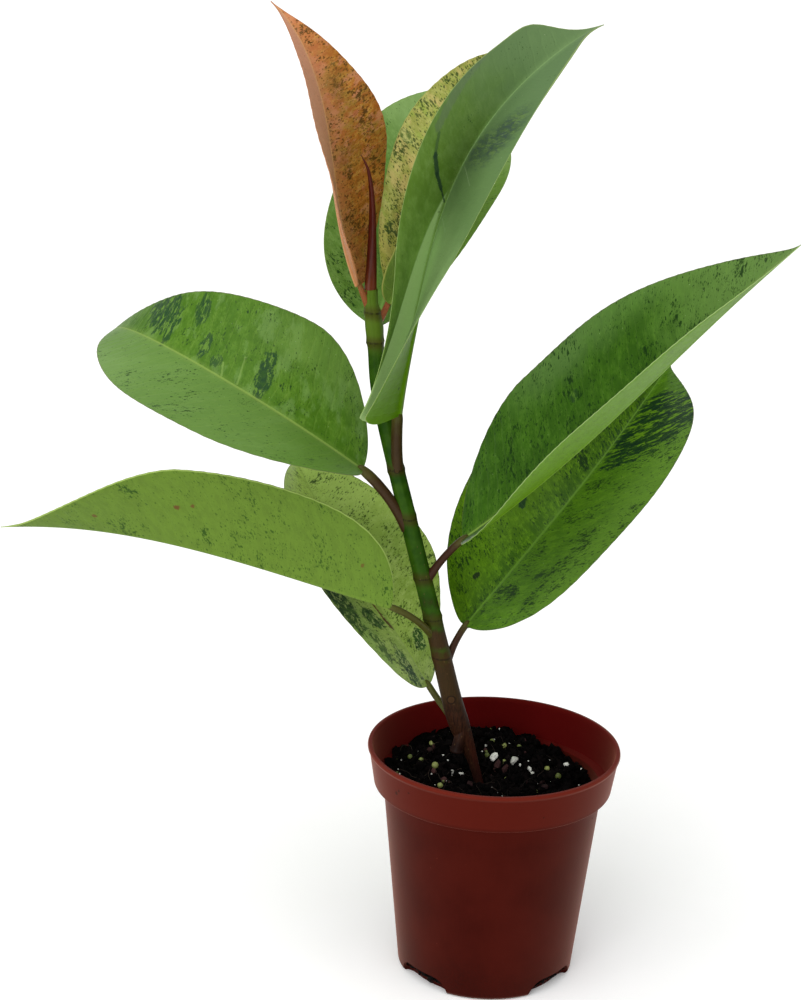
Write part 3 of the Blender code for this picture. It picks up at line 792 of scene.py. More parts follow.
def stem_finish():
    """Dark brown bark low down, deep green higher up, brown bands at the nodes, scars and pale pores."""
    finish = Finish("rubber plant stem", Specular_IOR_Level=0.07)
    place = finish.place()
    x, y, z = split(place)
    wander = noise(place, 75, 3, 0.6)
    grain = noise(vector(x, y, z * 0.22), 1500, 3, 0.6)
    pores = cells(vector(x, y, z * 0.6), 420)
    green = mix(smooth(wander, 0.35, 0.65), (27, 58, 4), (44, 76, 9))
    green = mix(smooth(z, 0.300, 0.312) * 0.8, green, (82, 106, 28))
    right_side = smooth(x + z * 0.34 - 0.0245, 0.0, 0.004) * smooth(z, 0.125, 0.100)
    brown = paint(mix(smooth(grain, 0.3, 0.7), (30, 15, 9), (54, 30, 17)),
                  (smooth(z + (wander - 0.5) * 0.03, 0.126, 0.142) * 0.6, (56, 44, 20)),
                  (right_side * 0.55, (70, 26, 20)),
                  # darker towards the foot, just above the mix
                  (smooth(z, 0.112, 0.098) * 0.6, (26, 10, 10)))
    colour = mix(smooth(z + (wander - 0.5) * 0.10, 0.158, 0.186), brown, green)
    for node in NODE_HEIGHTS:
        off = z - (node - 0.4) * MM
        band = smooth(off + (wander - 0.5) * 0.006, -0.0045, -0.001) * smooth(off, 0.0045, 0.001)
        thin = smooth(abs(off + (wander - 0.5) * 0.003), 0.0007, 0.0002) * smooth(grain, 0.3, 0.6)
        colour = paint(colour, (band * 0.55, (56, 34, 14)), (thin * 0.7, (24, 16, 8)))
    spur_foot = smooth(x, -0.0142, -0.0156) * smooth(z, 0.119, 0.113)
    colour = mix(spur_foot * 0.8, colour, (22, 10, 8))
    front = smooth(y, 0.0, -0.001)
    for scar_x, scar_z, reach in STEM_SCARS:
        far = norm(x - scar_x * MM, z - scar_z * MM) / (reach * MM)
        colour = paint(colour, (smooth(far, 1.1, 0.8) * front * 0.5, (70, 48, 26)),
                       (smooth(abs(far - 0.95), 0.22, 0.05) * front * 0.8, (20, 13, 8)))
    colour = mix(smooth(pores, 0.16, 0.06) * 0.45, colour, (92, 72, 44))
    return finish.made(colour, grain * 0.25 + 0.36, grain * 0.5 + pores * 0.4, 0.00018, 0.7)


stem_material = stem_finish()
new_piece("leaning_stem", stem_points, tube_faces(STEM_ROWS, STEM_SIDES), stem_material,
          ["stem"])

# %% [markdown]
# ## The leaves' table
#
# Nine leaves, each with its own bend. The table repeats the solids' numbers: where the
# stalk leaves the stem, where the blade starts, and how the blade's midrib heads, climbs
# and rolls at its base, middle and tip. `fold` is how far the two halves are lifted from
# the midrib, and `curl` bends them further towards the margin. The outline comes from
# `widest`, the share of the length where the blade is widest, `lobe`, the power that
# rounds the base, and `shoulder` and `taper`, the powers that shape the tip; a swell is
# an extra width and its place, and `sweep` draws the base corners forward. `bulge` is
# how thick the midrib is below. `ripple` is the height, count and phase of the margin's
# waves, and `stalk` the stalk's radius and its tone from dark over olive to pink.
# Lengths are millimetres and angles are degrees.

# %% Leaf table
LEAVES = {
    "leaf_1_mottled": dict(
        foot=(-24, 0, 129), base=(-32, 13, 137), length=150, half=40, heading=(158, 127, 103),
        climb=(56, 33, 10), roll=(-5, -2, -1), fold=(1, 24, 46), widest=0.39, taper=1.05, shoulder=1.8,
        lobe=1.7, ripple=(0.7, 2.2, 0.4), stalk=(1.6, 0.45)),
    "leaf_2_low_right": dict(
        foot=(-26, 0, 158), base=(-16, 8, 170), length=197, half=47, heading=(30, 54, 64),
        climb=(45, 28, 19), roll=(11, -14, -24), fold=(-6, 28, 47), widest=0.40, taper=1.6, shoulder=3.4,
        lobe=3.2, ripple=(0.9, 2.6, 1.9), stalk=(1.6, 0.05)),
    "leaf_3_low_left": dict(
        foot=(-30, 0, 171), base=(-51, -13, 186), length=194, half=46, heading=(175, 165, 167),
        climb=(14, 7, -11), roll=(-39, -25, -8), fold=(60, 46, 29), widest=0.53, taper=1.6, shoulder=1.7,
        lobe=3.2, bulge=0.4, ripple=(0.6, 2.1, 2.6), stalk=(1.6, 0.42)),
    "leaf_4_right": dict(
        foot=(-37, 0, 199), base=(-19, -6, 218), length=226, half=46, heading=(-16, -35, -39),
        climb=(41, 48, 43), roll=(-22, -38, -25), fold=(22, 36, 12), widest=0.28, taper=1.2,
        shoulder=2.7, lobe=1.6, ripple=(0.6, 2.4, 0.8), stalk=(1.75, 0.0)),
    "leaf_5_left": dict(
        foot=(-44, 0, 224), base=(-66, -4, 249), length=181, half=49, heading=(180, 143, 104),
        climb=(35, 14, -19), roll=(14, 26, 36), fold=(17, 15, 8), widest=0.31, taper=0.95, shoulder=1.6,
        lobe=1.8, ripple=(0.8, 2.3, 3.0), stalk=(2.45, 0.12)),
    "leaf_6_tall_front": dict(
        foot=(-51, 0, 250), base=(-51, -14, 279), length=230, half=55, heading=(-85, -25, 69),
        climb=(54, 70, -3), roll=(-139, -104, 22), fold=(81, 69, 8), fold_left=(88, 76, 9), curl=5,
        widest=0.45, taper=1.7, shoulder=1.5, lobe=4.5, sweep=0.5, swell_left=(0.35, 0.845),
        swell_right=(-0.4, 0.93), ripple=(0.8, 1.9, 1.1), stalk=(2.6, 0.15)),
    "leaf_7_top_back": dict(
        foot=(-63, 0, 311), base=(-62, 12, 313), length=166, half=39, heading=(79, 70, 62),
        climb=(39, 32, 27), roll=(3, -15, -31), fold=(31, 21, 14), widest=0.47, taper=1.3, shoulder=2.8,
        lobe=3, ripple=(0.6, 2.2, 2.2), stalk=(1.4, 0.4)),
    "leaf_8_cream": dict(
        foot=(-64, 0, 321), base=(-57, 8, 325), length=148, half=32, heading=(28, 50, 64),
        climb=(69, 47, 24), roll=(35, 17, 0), fold=(17, 31, 43), curl=7, widest=0.44, taper=1.2,
        shoulder=2.8, lobe=2.2, ripple=(0.6, 2.7, 0.3), stalk=(1.3, 0.9)),
    "leaf_9_young_orange": dict(
        foot=(-65, 0, 329), base=(-70, -2, 335), length=134, half=39, heading=(148, 147, 154),
        climb=(61, 77, 35), roll=(-23, -11, 19), fold=(16, 20, 25), widest=0.44, taper=1.65,
        shoulder=1.6, lobe=1.6, ripple=(0.5, 3.1, 1.5), stalk=(1.15, 0.85)),
}

# %% [markdown]
# ## The shape of a blade
#
# Walking along the midrib, the direction changes smoothly from base to tip, so the
# midrib is the running sum of small steps in that direction. At every station there are
# two directions across: one to the right and one up out of the leaf. Each half leaves
# the midrib at the fold angle. Real blades also ripple a little at the margin, puff up
# faintly between the side veins, and round into the midrib, so those are added.

# %% Blade surface
def direction(heading, climb):
    """The unit vector that heads that way on the floor plan and climbs by that angle."""
    return np.stack([np.cos(climb) * np.cos(heading), np.cos(climb) * np.sin(heading), np.sin(climb)], -1)


def eased(triple, t):
    """The quadratic through a value at the base, the middle and the tip, from degrees to radians."""
    base, middle, tip = np.radians(triple)
    return base * (1 - t) * (1 - 2 * t) + middle * 4 * t * (1 - t) + tip * t * (2 * t - 1)


SWELL_REACH, LEAST_HALF, HALF_LOSS = 0.055, 1.3, 1.1


def half_widths(leaf, t, u):
    """How far each half reaches from the midrib, in mm, with its swellings at the margin.

    The outline is a root curve to the widest place and a power curve from there to the tip.
    """
    widest = leaf["widest"]
    before = 1 - np.clip((widest - t) / widest, 0, 1) ** leaf["lobe"]
    after = 1 - np.clip((t - widest) / (1 - widest), 0, 1) ** leaf["shoulder"]
    half = leaf["half"] * np.where(t < widest, np.sqrt(before), after ** leaf["taper"])
    half = np.maximum(half, LEAST_HALF - HALF_LOSS * t)[:, None]
    for key, this_half in (("swell_left", u < 0), ("swell_right", u > 0)):
        by, place = leaf.get(key, (0, 0.5))
        half = half * (1 + by * bump_at(t, place, SWELL_REACH)[:, None] * this_half)
    return half


VEIN_STEP, VEIN_SLANT, VEIN_PUFF = 5.6, 0.45, 0.09


def blade_sheet(leaf, t, u):
    """Upper side of a blade at shares t of its length and u (-1 left, 1 right) of its halves, in mm.

    Each half is a straight or curled line at the fold angle from the midrib.
    """
    heading, climb = eased(leaf["heading"], t), eased(leaf["climb"], t)
    roll = eased(leaf["roll"], t)[:, None]
    fold = eased(leaf["fold"], t)[:, None]
    fold_left = eased(leaf.get("fold_left", leaf["fold"]), t)[:, None]
    fold = np.where(u[None] < 0, fold_left, fold)
    along = direction(heading, climb)
    steps = np.diff(t)[:, None] * (along[1:] + along[:-1]) / 2
    rib = np.vstack([np.zeros(3), np.cumsum(steps, axis=0)]) * leaf["length"] + np.array(leaf["base"])
    level = np.stack([np.sin(heading), -np.cos(heading), 0 * heading], -1)
    upward = np.cross(level, along)
    right = level * np.cos(roll) + upward * np.sin(roll)
    upper = upward * np.cos(roll) - level * np.sin(roll)
    half = half_widths(leaf, t, u)
    sign, distance = np.sign(u)[None], np.abs(u)[None] * half
    curl = math.radians(leaf.get("curl", 0)) + 1e-6
    angle = fold + curl * np.abs(u)[None]
    out = (np.sin(angle) - np.sin(fold)) / curl * sign * half
    lift = (np.cos(fold) - np.cos(angle)) / curl * half
    rounding = np.minimum(1.2, half * 0.5)
    lift = lift - np.sin(fold) * (distance + rounding - np.hypot(distance, rounding))
    along_mm = t[:, None] * leaf["length"]
    puff = np.cos((along_mm - VEIN_SLANT * distance) * math.tau / VEIN_STEP)
    lift = lift + VEIN_PUFF * puff * np.minimum(1, distance / 8) * np.minimum(1, half / 20)
    high, count, phase = leaf["ripple"]
    ripple = np.sin(math.tau * t[:, None] * count + phase + 1.3 * sign)
    lift = lift + high * ripple * u[None] ** 2 * np.minimum(1, half / 25)
    points = rib[:, None] + out[..., None] * right[:, None] + lift[..., None] * upper[:, None]
    swept = leaf.get("sweep", 0) * distance * np.exp(-((t[:, None] / 0.12) ** 2))
    points = points + swept[..., None] * along[:, None]
    return points, distance * sign, half * (1 - np.abs(u)[None]), along_mm + 0 * distance


BLADE_THICKNESS = 0.7


def blade_shell(sheet, distance, t, bulge):
    """The lower side: the sheet moved along its normals by the blade's thickness and the midrib's bulge.

    The thickness closes to nothing at the margin like the edge of a rounded slab; the bulge is a
    bell across the midrib that grows thinner towards the tip.
    """
    normal = np.cross(np.gradient(sheet, axis=1), np.gradient(sheet, axis=0))
    normal /= np.maximum(np.linalg.norm(normal, axis=-1, keepdims=True), 1e-12)
    edge = np.abs(distance) / np.maximum(np.abs(distance).max(axis=1, keepdims=True), 1e-9)
    slab = BLADE_THICKNESS * np.sqrt(np.clip(1 - edge**14, 0, 1))
    rib = bulge * (1.5 - 1.1 * t[:, None]) * np.exp(-((distance / (1.5 - 0.7 * t[:, None])) ** 2))
    thickness = (slab + rib * (1 - edge**2)) * (1 - 0.65 * t[:, None] ** 12)
    return sheet - normal * thickness[..., None]


# %% [markdown]
# ## Leaf skin
#
# A rubber plant leaf is waxy and leathery. The mottled kind has a lighter ground with
# dark flecks that run along the side veins, some large dark patches with brushed ends,
# a pale midrib and a thin pale or reddish margin; its underside is paler and duller.
# The pattern must follow the blade however it bends, so each blade carries two UV maps:
# "blade" holds the distance along the midrib and the signed distance from it, in
# centimetres, and "rim" holds the distance from the margin and which side it is.
#
# All nine leaves share one recipe, and a table holds what differs. Its places are two
# such distances. `patches` are large dark ovals (place, reach along and across, weight),
# `clusters` are crowds of flecks (place, reach), `marks` are lines or spots (two places,
# width, colour, weight) and `blotches` are clouds of a second colour (colour, size,
# weight). `washes` are soft tints (span along, span across, colour, weight), on
# several leaves painted sheen where a half or the tip faces the light: a span is where
# the tint starts and where it is full, and None leaves it out. `strip` is painted
# sheen, a lit edge beyond a line (two places, colour), and `bare` is a span across where
# flecks end.

# %% What every leaf skin reads
DEFAULT_LOOK = dict(under=(104, 136, 50), under_rim=None, patch_colour=(34, 62, 28), flecks=0.5, fine=1.0,
                    slant=0.3, clouds=0.5, patch_rag=2.6, brushy=True, vein_weight=0.16, under_veins=0.2,
                    under_rib=0.5, under_flecks=0.35, shine_through=0.0, patches=(), clusters=(), washes=(),
                    under_washes=(), blotches=(), marks=(), strip=None, bare=None)


class LeafFinish(Finish):
    """A finish that also holds a leaf's look, and the coordinates and noises that all its steps read.

    A vein is a curve on which s - slant |d| - 0.03 d^2 stays the same, where s runs along the midrib
    and d away from it. Noise that reads that value, squeezed the other way, gives brushed streaks.
    """

    def __init__(self, name, seed, **look):
        super().__init__(name, Specular_IOR_Level=0.10)
        for key, value in {**DEFAULT_LOOK, **look}.items():
            setattr(self, key, value)
        self.along, self.across = self.uv("blade")
        self.rim, self.side = self.uv("rim")
        self.away = abs(self.across)
        self.vein = self.along - self.away * self.slant - self.away * self.away * 0.03
        self.half_seed = smooth(self.across, -0.001, 0.001) * 7 + seed
        self.flat = vector(self.along, self.across, seed)
        self.veined = self.streaks(0.55)
        self.cloud = noise(self.flat, 0.6, 4, 0.6)
        self.mottle = noise(self.veined, 2.6, 5, 0.7)
        self.grain = noise(self.veined, 11.0, 3, 0.65)
        self.hair = noise(self.streaks(0.2), 13.0, 3, 0.65)

    def streaks(self, squeeze, shift=0):
        """Coordinates that make noise run with the side veins: the smaller the squeeze, the longer."""
        return vector(self.vein, self.away * squeeze, self.half_seed + shift)


def shaded(tint, share):
    """A screen colour times a share, at most 255."""
    return [min(255, share * c) for c in tint]


# %% [markdown]
# The first coats. A ground in three tones keeps a leaf from looking painted. Tints make
# one half or the tip paler, as the photo shows it; on several leaves this is painted sheen,
# where the blade faces the light. Marks are single lines and spots such as a scar or a
# brown speck. All are masks times a weight, mixed over what is there.

# %% Ground colours, tints and painted sheen, and marks
def ground_colour(skin):
    """Three tones of the same colour in clouds and grains, then blotches of other colours."""
    colour = paint(mix(smooth(skin.cloud * 0.5 + skin.mottle * 0.5, 0.40, 0.60), skin.shade, skin.ground),
                   (smooth(skin.mottle * 0.6 + skin.grain * 0.4, 0.46, 0.66) * skin.clouds, skin.glow),
                   (smooth(skin.grain * 0.6 + skin.hair * 0.4, 0.50, 0.30) * 0.55, skin.shade))
    for number, (tint, size, weight) in enumerate(skin.blotches):
        place = vector(skin.vein * 0.9 + number * 20, skin.away * 0.5, skin.half_seed)
        colour = mix(smooth(noise(place, size, 5, 0.65), 0.50, 0.62) * weight, colour, tint)
    return colour


def with_tints_and_sheen(skin, colour, washes):
    """Soft tints and painted sheen: each goes from nothing to its weight between two distances along, and two
    across.
    """
    for *spans, tint, weight in washes:
        mask = weight
        for value, span in zip((skin.along, skin.across), spans):
            if span is not None:
                mask = smooth(value + (skin.cloud - 0.5) * 0.7 * abs(span[1] - span[0]), *span) * mask
        colour = mix(mask, colour, tint)
    return colour


def near_line(skin, mark, raggedness):
    """1 within the mark's width of the line between two places on the blade, 0 beyond it."""
    s1, d1, s2, d2, width = mark
    run_s, run_d = s2 - s1, d2 - d1
    share = ((skin.along - s1) * run_s + (skin.across - d1) * run_d) / max(run_s**2 + run_d**2, 1e-6)
    share = skin.math("MINIMUM", skin.math("MAXIMUM", share, 0.0), 1.0)
    reach = norm(skin.along - s1 - share * run_s, skin.across - d1 - share * run_d) / width
    return smooth(reach + raggedness, 1.1, 0.6)


def marked(skin, colour, marks):
    """Single lines and spots, each with its place, width, colour and weight."""
    for *mark, tint, weight in marks:
        colour = mix(near_line(skin, mark, (skin.grain - 0.5) * 1.4) * weight, colour, tint)
    return colour


# %% [markdown]
# Flecks come from two sources. A cell pattern gives single dots, each with a size of its
# own, and noise cut off at a high value gives longer streaks along the veins. A patch is
# an oval whose edge is moved in and out by brushed noise, so its ends look painted with a
# dry brush, and a second noise opens gaps in it.

# %% Flecks and dark patches
def tallest(masks):
    """The largest of several masks."""
    result = masks[0]
    for mask in masks[1:]:
        result = result.finish.math("MAXIMUM", result, mask)
    return result


def dots(place, scale, share, ragged):
    """Small marks, one to a cell at most: the cell's random number and the share set how big it gets."""
    far = cells(place, scale, 0, voronoi_dimensions="2D")
    lot, _, _ = split(cells(place, scale, 1, voronoi_dimensions="2D"))
    return smooth(far + ragged - (lot - 1 + share) * 0.55, 0.06, -0.04)


def fleck_mask(skin):
    """Flecks of four sizes, denser in some places; clusters add more, and a bare half has fewer."""
    density = noise(skin.flat, 0.9, 3, 0.6) - 0.5
    crowd = density * 0.45 + (skin.flecks - 0.5) * 0.12
    share = density + skin.flecks * 0.5
    for s, d, reach in skin.clusters:
        crowd = crowd + near_line(skin, (s, d, s, d, reach), (skin.mottle - 0.5) * 2) * 0.07
    if skin.bare:
        bare = smooth(skin.across, *skin.bare)
        crowd = crowd - bare * 0.08
        share = share - bare * 0.35
    place = vector(skin.vein + skin.half_seed, skin.away * 0.6 + skin.half_seed)
    tiny = dots(place, 8.0, share * skin.fine, (skin.grain - 0.5) * 0.5)
    short = dots(place, 4.2, share - 0.12, (skin.grain - 0.5) * 0.8)
    small = smooth(noise(skin.veined, 15.0, 3, 0.6) + crowd, 0.675, 0.715)
    large = smooth(noise(skin.veined, 6.5, 4, 0.7) + crowd * 1.3, 0.685, 0.715)
    return tallest([tiny * 0.8, short * 0.9, small * 0.85, large])


def patch_mask(skin, ragged):
    """Ovals round the patches' middles, with ends as ragged as the noise and the look make them."""
    inner_edge = 0.35 if skin.patch_rag < 1.5 else 0.92
    masks = []
    for s, d, long_reach, wide_reach, strength in skin.patches:
        start = s - skin.slant * abs(d) - 0.03 * d * d
        reach = norm((skin.vein - start) / long_reach, (skin.across - d) / wide_reach)
        masks.append(smooth(reach + (ragged - 0.5) * skin.patch_rag, 1.10, inner_edge) * strength)
    return tallest(masks)


def patch_paint(skin, broken):
    """The patches' own colour in two tones, with gaps where the light ground shows."""
    lighter = [0.6 * p + 0.4 * g for p, g in zip(skin.patch_colour, skin.shade)]
    worn = smooth(noise(skin.veined, 5.0, 4, 0.75), 0.40, 0.60)
    gap = smooth(broken, 0.52, 0.58) * min(0.85, 0.33 * skin.patch_rag)
    return mix(gap, mix(worn, skin.patch_colour, lighter), skin.glow)


# %% [markdown]
# Now the coats are laid over each other, first those of the upper side, then those of the
# duller underside, and the side's own UV number chooses between them. The margin, the
# roughness and the relief close the recipe. The tall leaf is lit from behind, so a little
# of its colour is given off as light where its two halves stand close.

# %% The whole leaf skin
VEIN_SPACING = 0.62
SHOWS_BELOW = (0.04, 0.2)  # only marks whose width lies between these show on the underside


def leaf_finish(name, **look):
    """Upper side, lower side and margin of a leaf, from the ground colour up to the midrib."""
    skin = LeafFinish(name, **look)
    upper = with_tints_and_sheen(skin, ground_colour(skin), skin.washes)
    # Painted sheen: beyond a line on the left half near the base the blade turns a lit grey-green, as where
    # the fold catches the light.
    if skin.strip:
        s1, d1, s2, d2, *sheen_strip_colour = skin.strip
        past = skin.along - s1 - (skin.across - d1) * ((s2 - s1) / (d2 - d1)) + (skin.mottle - 0.5) * 0.2
        in_sheen_strip = smooth(past, 0.15, -0.15) * smooth(skin.across, -0.1, -0.6)
        upper = mix(in_sheen_strip * 0.95, upper, sheen_strip_colour)
    specks = fleck_mask(skin)
    upper = mix(specks * 0.92, upper, skin.fleck)
    if skin.patches and skin.brushy:
        brushed = skin.streaks(0.36, 3)
        patch, broken = patch_mask(skin, noise(brushed, 4.2, 5, 0.8)), noise(brushed, 4.6, 5, 0.75)
    elif skin.patches:
        patch, broken = patch_mask(skin, noise(skin.flat, 2.4, 5, 0.72)), noise(skin.flat, 4.5, 4, 0.75)
    if skin.patches:
        upper = mix(patch, upper, patch_paint(skin, broken))
    upper = marked(skin, upper, skin.marks)
    beat = abs(skin.math("FRACT", skin.vein / VEIN_SPACING + (skin.cloud - 0.5) * 1.2) - 0.5)
    vein_line = smooth(beat, 0.05, 0.0) * smooth(skin.away, 0.05, 0.4)
    rib_line = smooth(skin.away - (0.10 - skin.along * 0.0034), 0.015, -0.04)
    dust = smooth(cells(skin.flat, 3.2), 0.07, 0.04) * smooth(skin.mottle, 0.5, 0.56)
    upper = paint(upper, (vein_line * skin.vein_weight, skin.rib_colour), (dust * 0.3, (206, 216, 178)))
    # Painted highlight: a pale line along the border of the painted sheen strip.
    if skin.strip:
        edge = smooth(abs(past), 0.16, 0.04) * smooth(skin.across, -0.2, -0.6)
        upper = mix(edge * 0.5, upper, skin.rib_colour)
    upper = paint(upper, (smooth(skin.away, 0.32, 0.08) * 0.15, skin.rib_colour),
                  (rib_line * 0.7, skin.rib_colour))

    lower = mix(smooth(skin.mottle, 0.40, 0.62) * 0.45, skin.under, shaded(skin.under, 0.86))
    lower = mix(smooth(skin.grain, 0.52, 0.70) * 0.3, lower, shaded(skin.under, 1.12))
    lower = with_tints_and_sheen(skin, lower, skin.under_washes)
    lower = mix(specks * skin.under_flecks, lower, skin.fleck)
    if skin.patches:
        lower = mix(patch * 0.3, lower, skin.patch_colour)
    lower = marked(skin, lower, [mark for mark in skin.marks if SHOWS_BELOW[0] < mark[4] < SHOWS_BELOW[1]])
    lower = paint(lower, (vein_line * skin.under_veins, skin.rib_colour),
                  (smooth(skin.away, 0.16, 0.06) * skin.under_rib, skin.rib_colour))

    colour = mix(skin.side, lower, upper)
    edge_colour = mix(skin.side, skin.under_rim or skin.rim_colour, skin.rim_colour)
    on_edge = smooth(skin.rim - ((1 - skin.side) * 0.03 + 0.05), 0.0, -0.03)
    colour = mix(on_edge * 0.75, colour, edge_colour)
    if skin.shine_through:
        skin.shader.inputs["Emission Strength"].default_value = skin.shine_through
        folded = smooth(skin.along, 13.5, 9.0) * smooth(skin.away, 5.0, 0.6)
        skin.set(Emission_Color=mix(tallest([folded, in_sheen_strip]) * skin.side, (0, 0, 0), colour))
    rough = (1 - skin.side) * 0.14 + noise(skin.flat, 2.0, 4, 0.65) * 0.16 + skin.hair * 0.08 + 0.28
    height = skin.grain * 0.35 + smooth(beat, 0.16, 0.0) * -0.5 + rib_line * -0.4
    return skin.made(colour, rough, height, 0.00014, 0.8)
